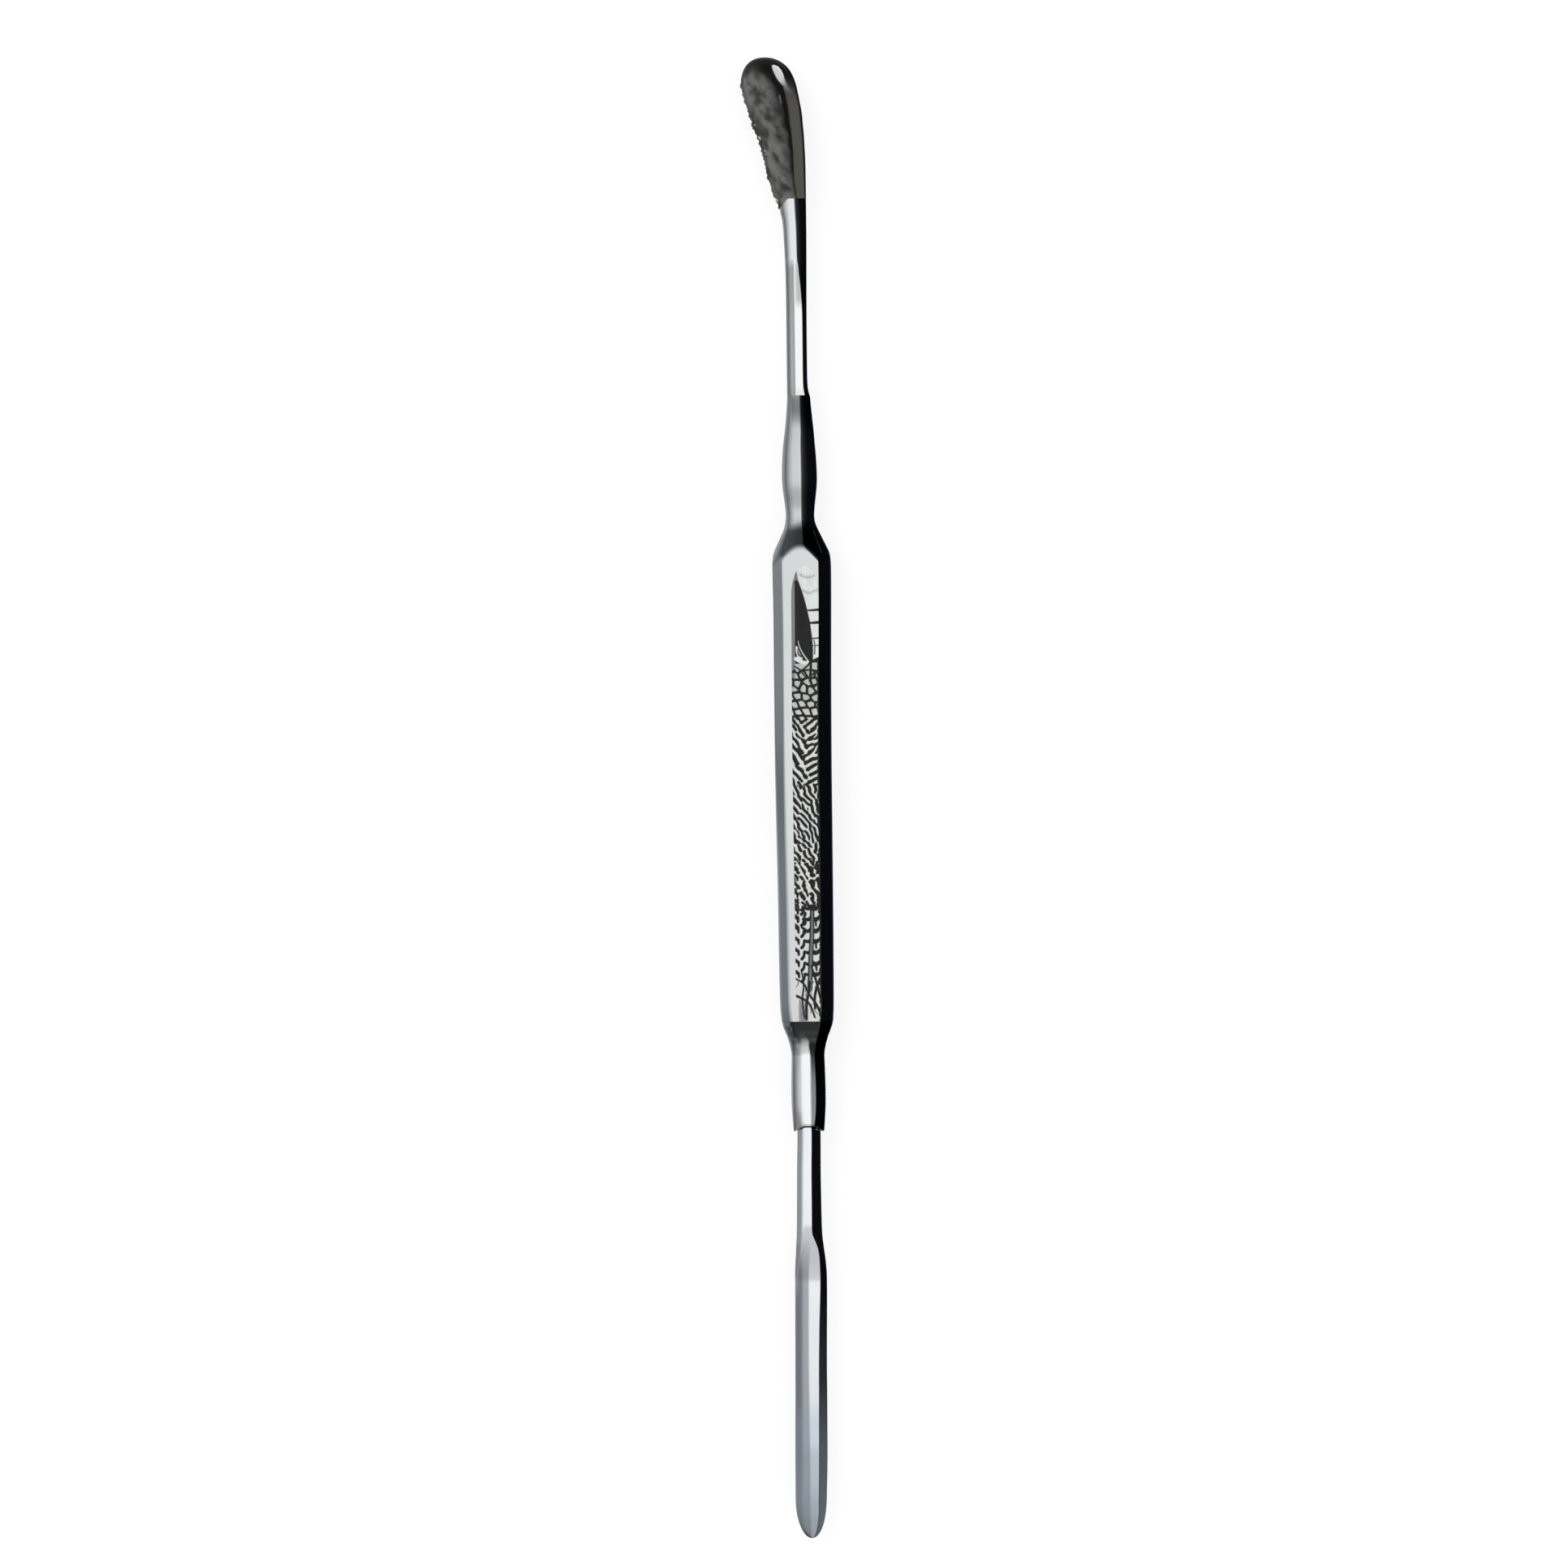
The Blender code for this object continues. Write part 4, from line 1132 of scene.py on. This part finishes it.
def collet_spring():
    """A finer coil between the handle and the collet."""
    low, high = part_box("collet_spring")
    seat, free = (high.y - CAD_LOW.y) / MM, (low.y - CAD_LOW.y) / MM
    wire, coil, turns, steps = 0.15, 1.2, 6, 36
    rows = []
    for k in range(turns * steps + 1):
        turn = 2 * math.pi * k / steps
        d = free + wire + (seat - free - 2 * wire) * k / (turns * steps)
        section = circle(wire, 12)
        rows.append(np.stack([(coil + section[:, 0]) * math.cos(turn), d + section[:, 1],
                              (coil + section[:, 0]) * math.sin(turn)], 1))
    made = mesh_object("collet_spring_fine", rows)
    finish_piece(made, PLAIN, "plain_steel", None, "collet_spring")
    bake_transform(made)


def inner_finishes():
    """Better materials for the CAD nodes that keep their shape."""
    for node, material in (("collet", BRASS), ("thrust_washer", BRASS), ("chuck_insert", PLAIN),
                           ("tang_washer", PLAIN), ("tang_nut", PLAIN)):
        mesh = frame["nodes"][node].data
        for k in range(len(mesh.materials)):
            mesh.materials[k] = material


# ---- studio


LEAN, TIP = math.radians(0.755), math.radians(3)
ASIDE, UPWARD, AWAY = -2.69, 1.81, 705.7       # where the camera aims, from the tool's middle; its distance
SOFT_LIGHT, OPEN_VIEW, FLOOR_GLOW = 0.86, 0.98, 0.8


def camera():
    """Overhead, a long lens, tipped slightly to the right; the tool leans left in the picture."""
    across = Vector((math.cos(LEAN), -math.sin(LEAN), 0))
    up = Vector((math.sin(LEAN), math.cos(LEAN), 0))
    middle = Vector((AXIS.x, (CAD_LOW.y + CAD_HIGH.y) / 2, AXIS.z))
    target = middle + across * ASIDE * MM + up * UPWARD * MM
    back = Vector((0, 0, 1)) * math.cos(TIP) + across * math.sin(TIP)
    right = up.cross(back)
    data = bpy.data.cameras.new("camera")
    data.lens, data.sensor_width = 120, 36
    data.clip_start, data.clip_end = 0.01, 20
    made = placed("camera", data)
    place = target + back * AWAY * MM
    made.matrix_world = Matrix([(*pair, at) for *pair, at in zip(right, up, back, place)] + [(0, 0, 0, 1)])
    bpy.context.scene.camera = made


# Brightness of the studio as polished metal sees it. Turn is degrees from overhead towards +X.
ROUND_THE_TOOL = [(-180, 0.50, 0.52, 0.55), (-150, 0.42, 0.44, 0.47), (-125, 0.37, 0.39, 0.41),
                  (-108, 0.26, 0.28, 0.30), (-99, 0.17, 0.185, 0.20), (-91, 0.31, 0.325, 0.335),
                  (-78, 0.45, 0.46, 0.47), (-60, 0.70, 0.71, 0.71), (-40, 0.92, 0.93, 0.93),
                  (9, 0.95, 0.96, 0.96), (12.5, 0.40, 0.41, 0.42), (16, 0.06, 0.065, 0.07),
                  (30, 0.022, 0.024, 0.027), (46, 0.010, 0.011, 0.013), (62, 0.004, 0.004, 0.005),
                  (140, 0.002, 0.003, 0.005), (165, 0.006, 0.014, 0.03), (180, 0.02, 0.03, 0.05)]
# Rise is degrees along the tool, towards +Y.
ALONG_THE_TOOL = [(-90, 0.03), (-50, 0.03), (-37, 0.07), (-28, 0.42), (-20, 0.60), (-9, 0.68), (-5.2, 0.97),
                  (0, 1), (12, 1), (22, 0.85), (33, 0.42), (44, 0.12), (52, 0.05), (90, 0.03)]
# A plain grey room, where steel shows it only in views from low down or from the tool's ends: each part is
# its level along the tool and its share round the tool.
GREY_ROOM = [([(-90, 0.42), (-41, 0.42), (-35, 0), (90, 0)],
              [(-180, 1), (-106, 1), (-98, 0), (180, 0)]),
             ([(-90, 0), (35, 0), (41, 0.42), (90, 0.42)],
              [(-180, 1), (-108, 1), (-100, 0), (104, 0), (112, 1), (180, 1)]),
             ([(-90, 0.36), (-74, 0.30), (-66, 0), (66, 0), (74, 0.30), (90, 0.36)],
              [(-180, 1), (180, 1)])]


def ramp(tree, value, span, stops):
    """A colour ramp over angles from -span to span, for a value from 0 to 1."""
    node = add_node(tree, "ShaderNodeValToRGB", {0: value})
    elements = node.color_ramp.elements
    while len(elements) < len(stops):
        elements.new(0.5)
    for element, (angle, *rgb) in zip(elements, stops):
        element.position = (angle + span) / (2 * span)
        element.color = colour(*rgb) if len(rgb) == 3 else colour(*rgb * 3)
    return node.outputs[0]


def world():
    """Soft light from everywhere; for polished metal, a studio bright above and dark to one side."""
    made = bpy.data.worlds.new("studio")
    made.use_nodes = True
    made.cycles.sampling_method = "NONE"
    bpy.context.scene.world = made
    tree = made.node_tree
    tree.nodes.clear()

    def add(kind, *inputs, **settings):
        return add_node(tree, kind, dict(enumerate(inputs)), **settings)

    direction = add("ShaderNodeTexCoord").outputs["Generated"]
    x, y, z = add("ShaderNodeSeparateXYZ", direction).outputs
    turn = add("ShaderNodeMath", x, z, operation="ARCTAN2").outputs[0]
    rise = add("ShaderNodeMath", y, operation="ARCSINE").outputs[0]
    around = add("ShaderNodeMath", turn, 0.5 / math.pi, 0.5, operation="MULTIPLY_ADD").outputs[0]
    length = add("ShaderNodeMath", rise, 1 / math.pi, 0.5, operation="MULTIPLY_ADD").outputs[0]
    first, second = ramp(tree, around, 180, ROUND_THE_TOOL), ramp(tree, length, 90, ALONG_THE_TOOL)
    seen = add("ShaderNodeVectorMath", first, second, operation="MULTIPLY").outputs[0]
    for levels, shares in GREY_ROOM:
        level, share = ramp(tree, length, 90, levels), ramp(tree, around, 180, shares)
        grey = add("ShaderNodeVectorMath", level, share, operation="MULTIPLY").outputs[0]
        seen = add("ShaderNodeVectorMath", seen, grey, operation="MAXIMUM").outputs[0]
    polished = add("ShaderNodeBackground", seen, 1).outputs[0]
    soft = add("ShaderNodeBackground", colour(1, 1, 1), SOFT_LIGHT).outputs[0]
    open_view = add("ShaderNodeBackground", colour(1, 1, 1), OPEN_VIEW).outputs[0]
    path = add("ShaderNodeLightPath").outputs
    lit = add("ShaderNodeMixShader", path["Is Diffuse Ray"], polished, soft).outputs[0]
    whole = add("ShaderNodeMixShader", path["Is Camera Ray"], lit, open_view).outputs[0]
    add("ShaderNodeOutputWorld", whole)


def area_light(name, place, size, power, glossy=False):
    data = bpy.data.lights.new(name, "AREA")
    data.shape, data.size, data.energy = "DISK", size, power
    made = placed(name, data)
    made.location = place
    made.rotation_mode = "QUATERNION"
    made.rotation_quaternion = (AXIS - Vector(place)).to_track_quat("-Z", "Y")
    made.visible_glossy = glossy
    made.visible_camera = False
    return made


def floor():
    bm = bmesh.new()
    bmesh.ops.create_grid(bm, x_segments=8, y_segments=8, size=3.0)
    mesh = bpy.data.meshes.new("floor")
    bm.to_mesh(mesh)
    bm.free()
    made = placed("floor", mesh)
    made.location.z = CAD_LOW.z
    made.visible_glossy = False
    pale = Finish("pale_floor")
    pale.set(colour=colour(0.22, 0.22, 0.22), roughness=0.9, specular=0)
    pale.shader.inputs["Emission Color"].default_value = colour(1, 1, 1)
    pale.shader.inputs["Emission Strength"].default_value = FLOOR_GLOW
    made.data.materials.append(pale.material)


def studio():
    camera()
    world()
    floor()
    area_light("key_light", (-0.5, 0.4, 0.9), 0.7, 3)
    area_light("fill_light", (0.6, -0.5, 0.8), 0.9, 1.5)
    bpy.context.scene.view_settings.view_transform = "Standard"


def main():
    studio()
    spatula_blade()
    nose_cap()
    handle_tube()
    grip_inlay("inlay_front_fine", "grip_inlay_front", 1, 11)
    grip_inlay("inlay_rear_fine", "grip_inlay_rear", -1, 12)
    upper_ferrule()
    rasp_shank()
    rasp_head()
    collet_spring()
    inner_finishes()


main()
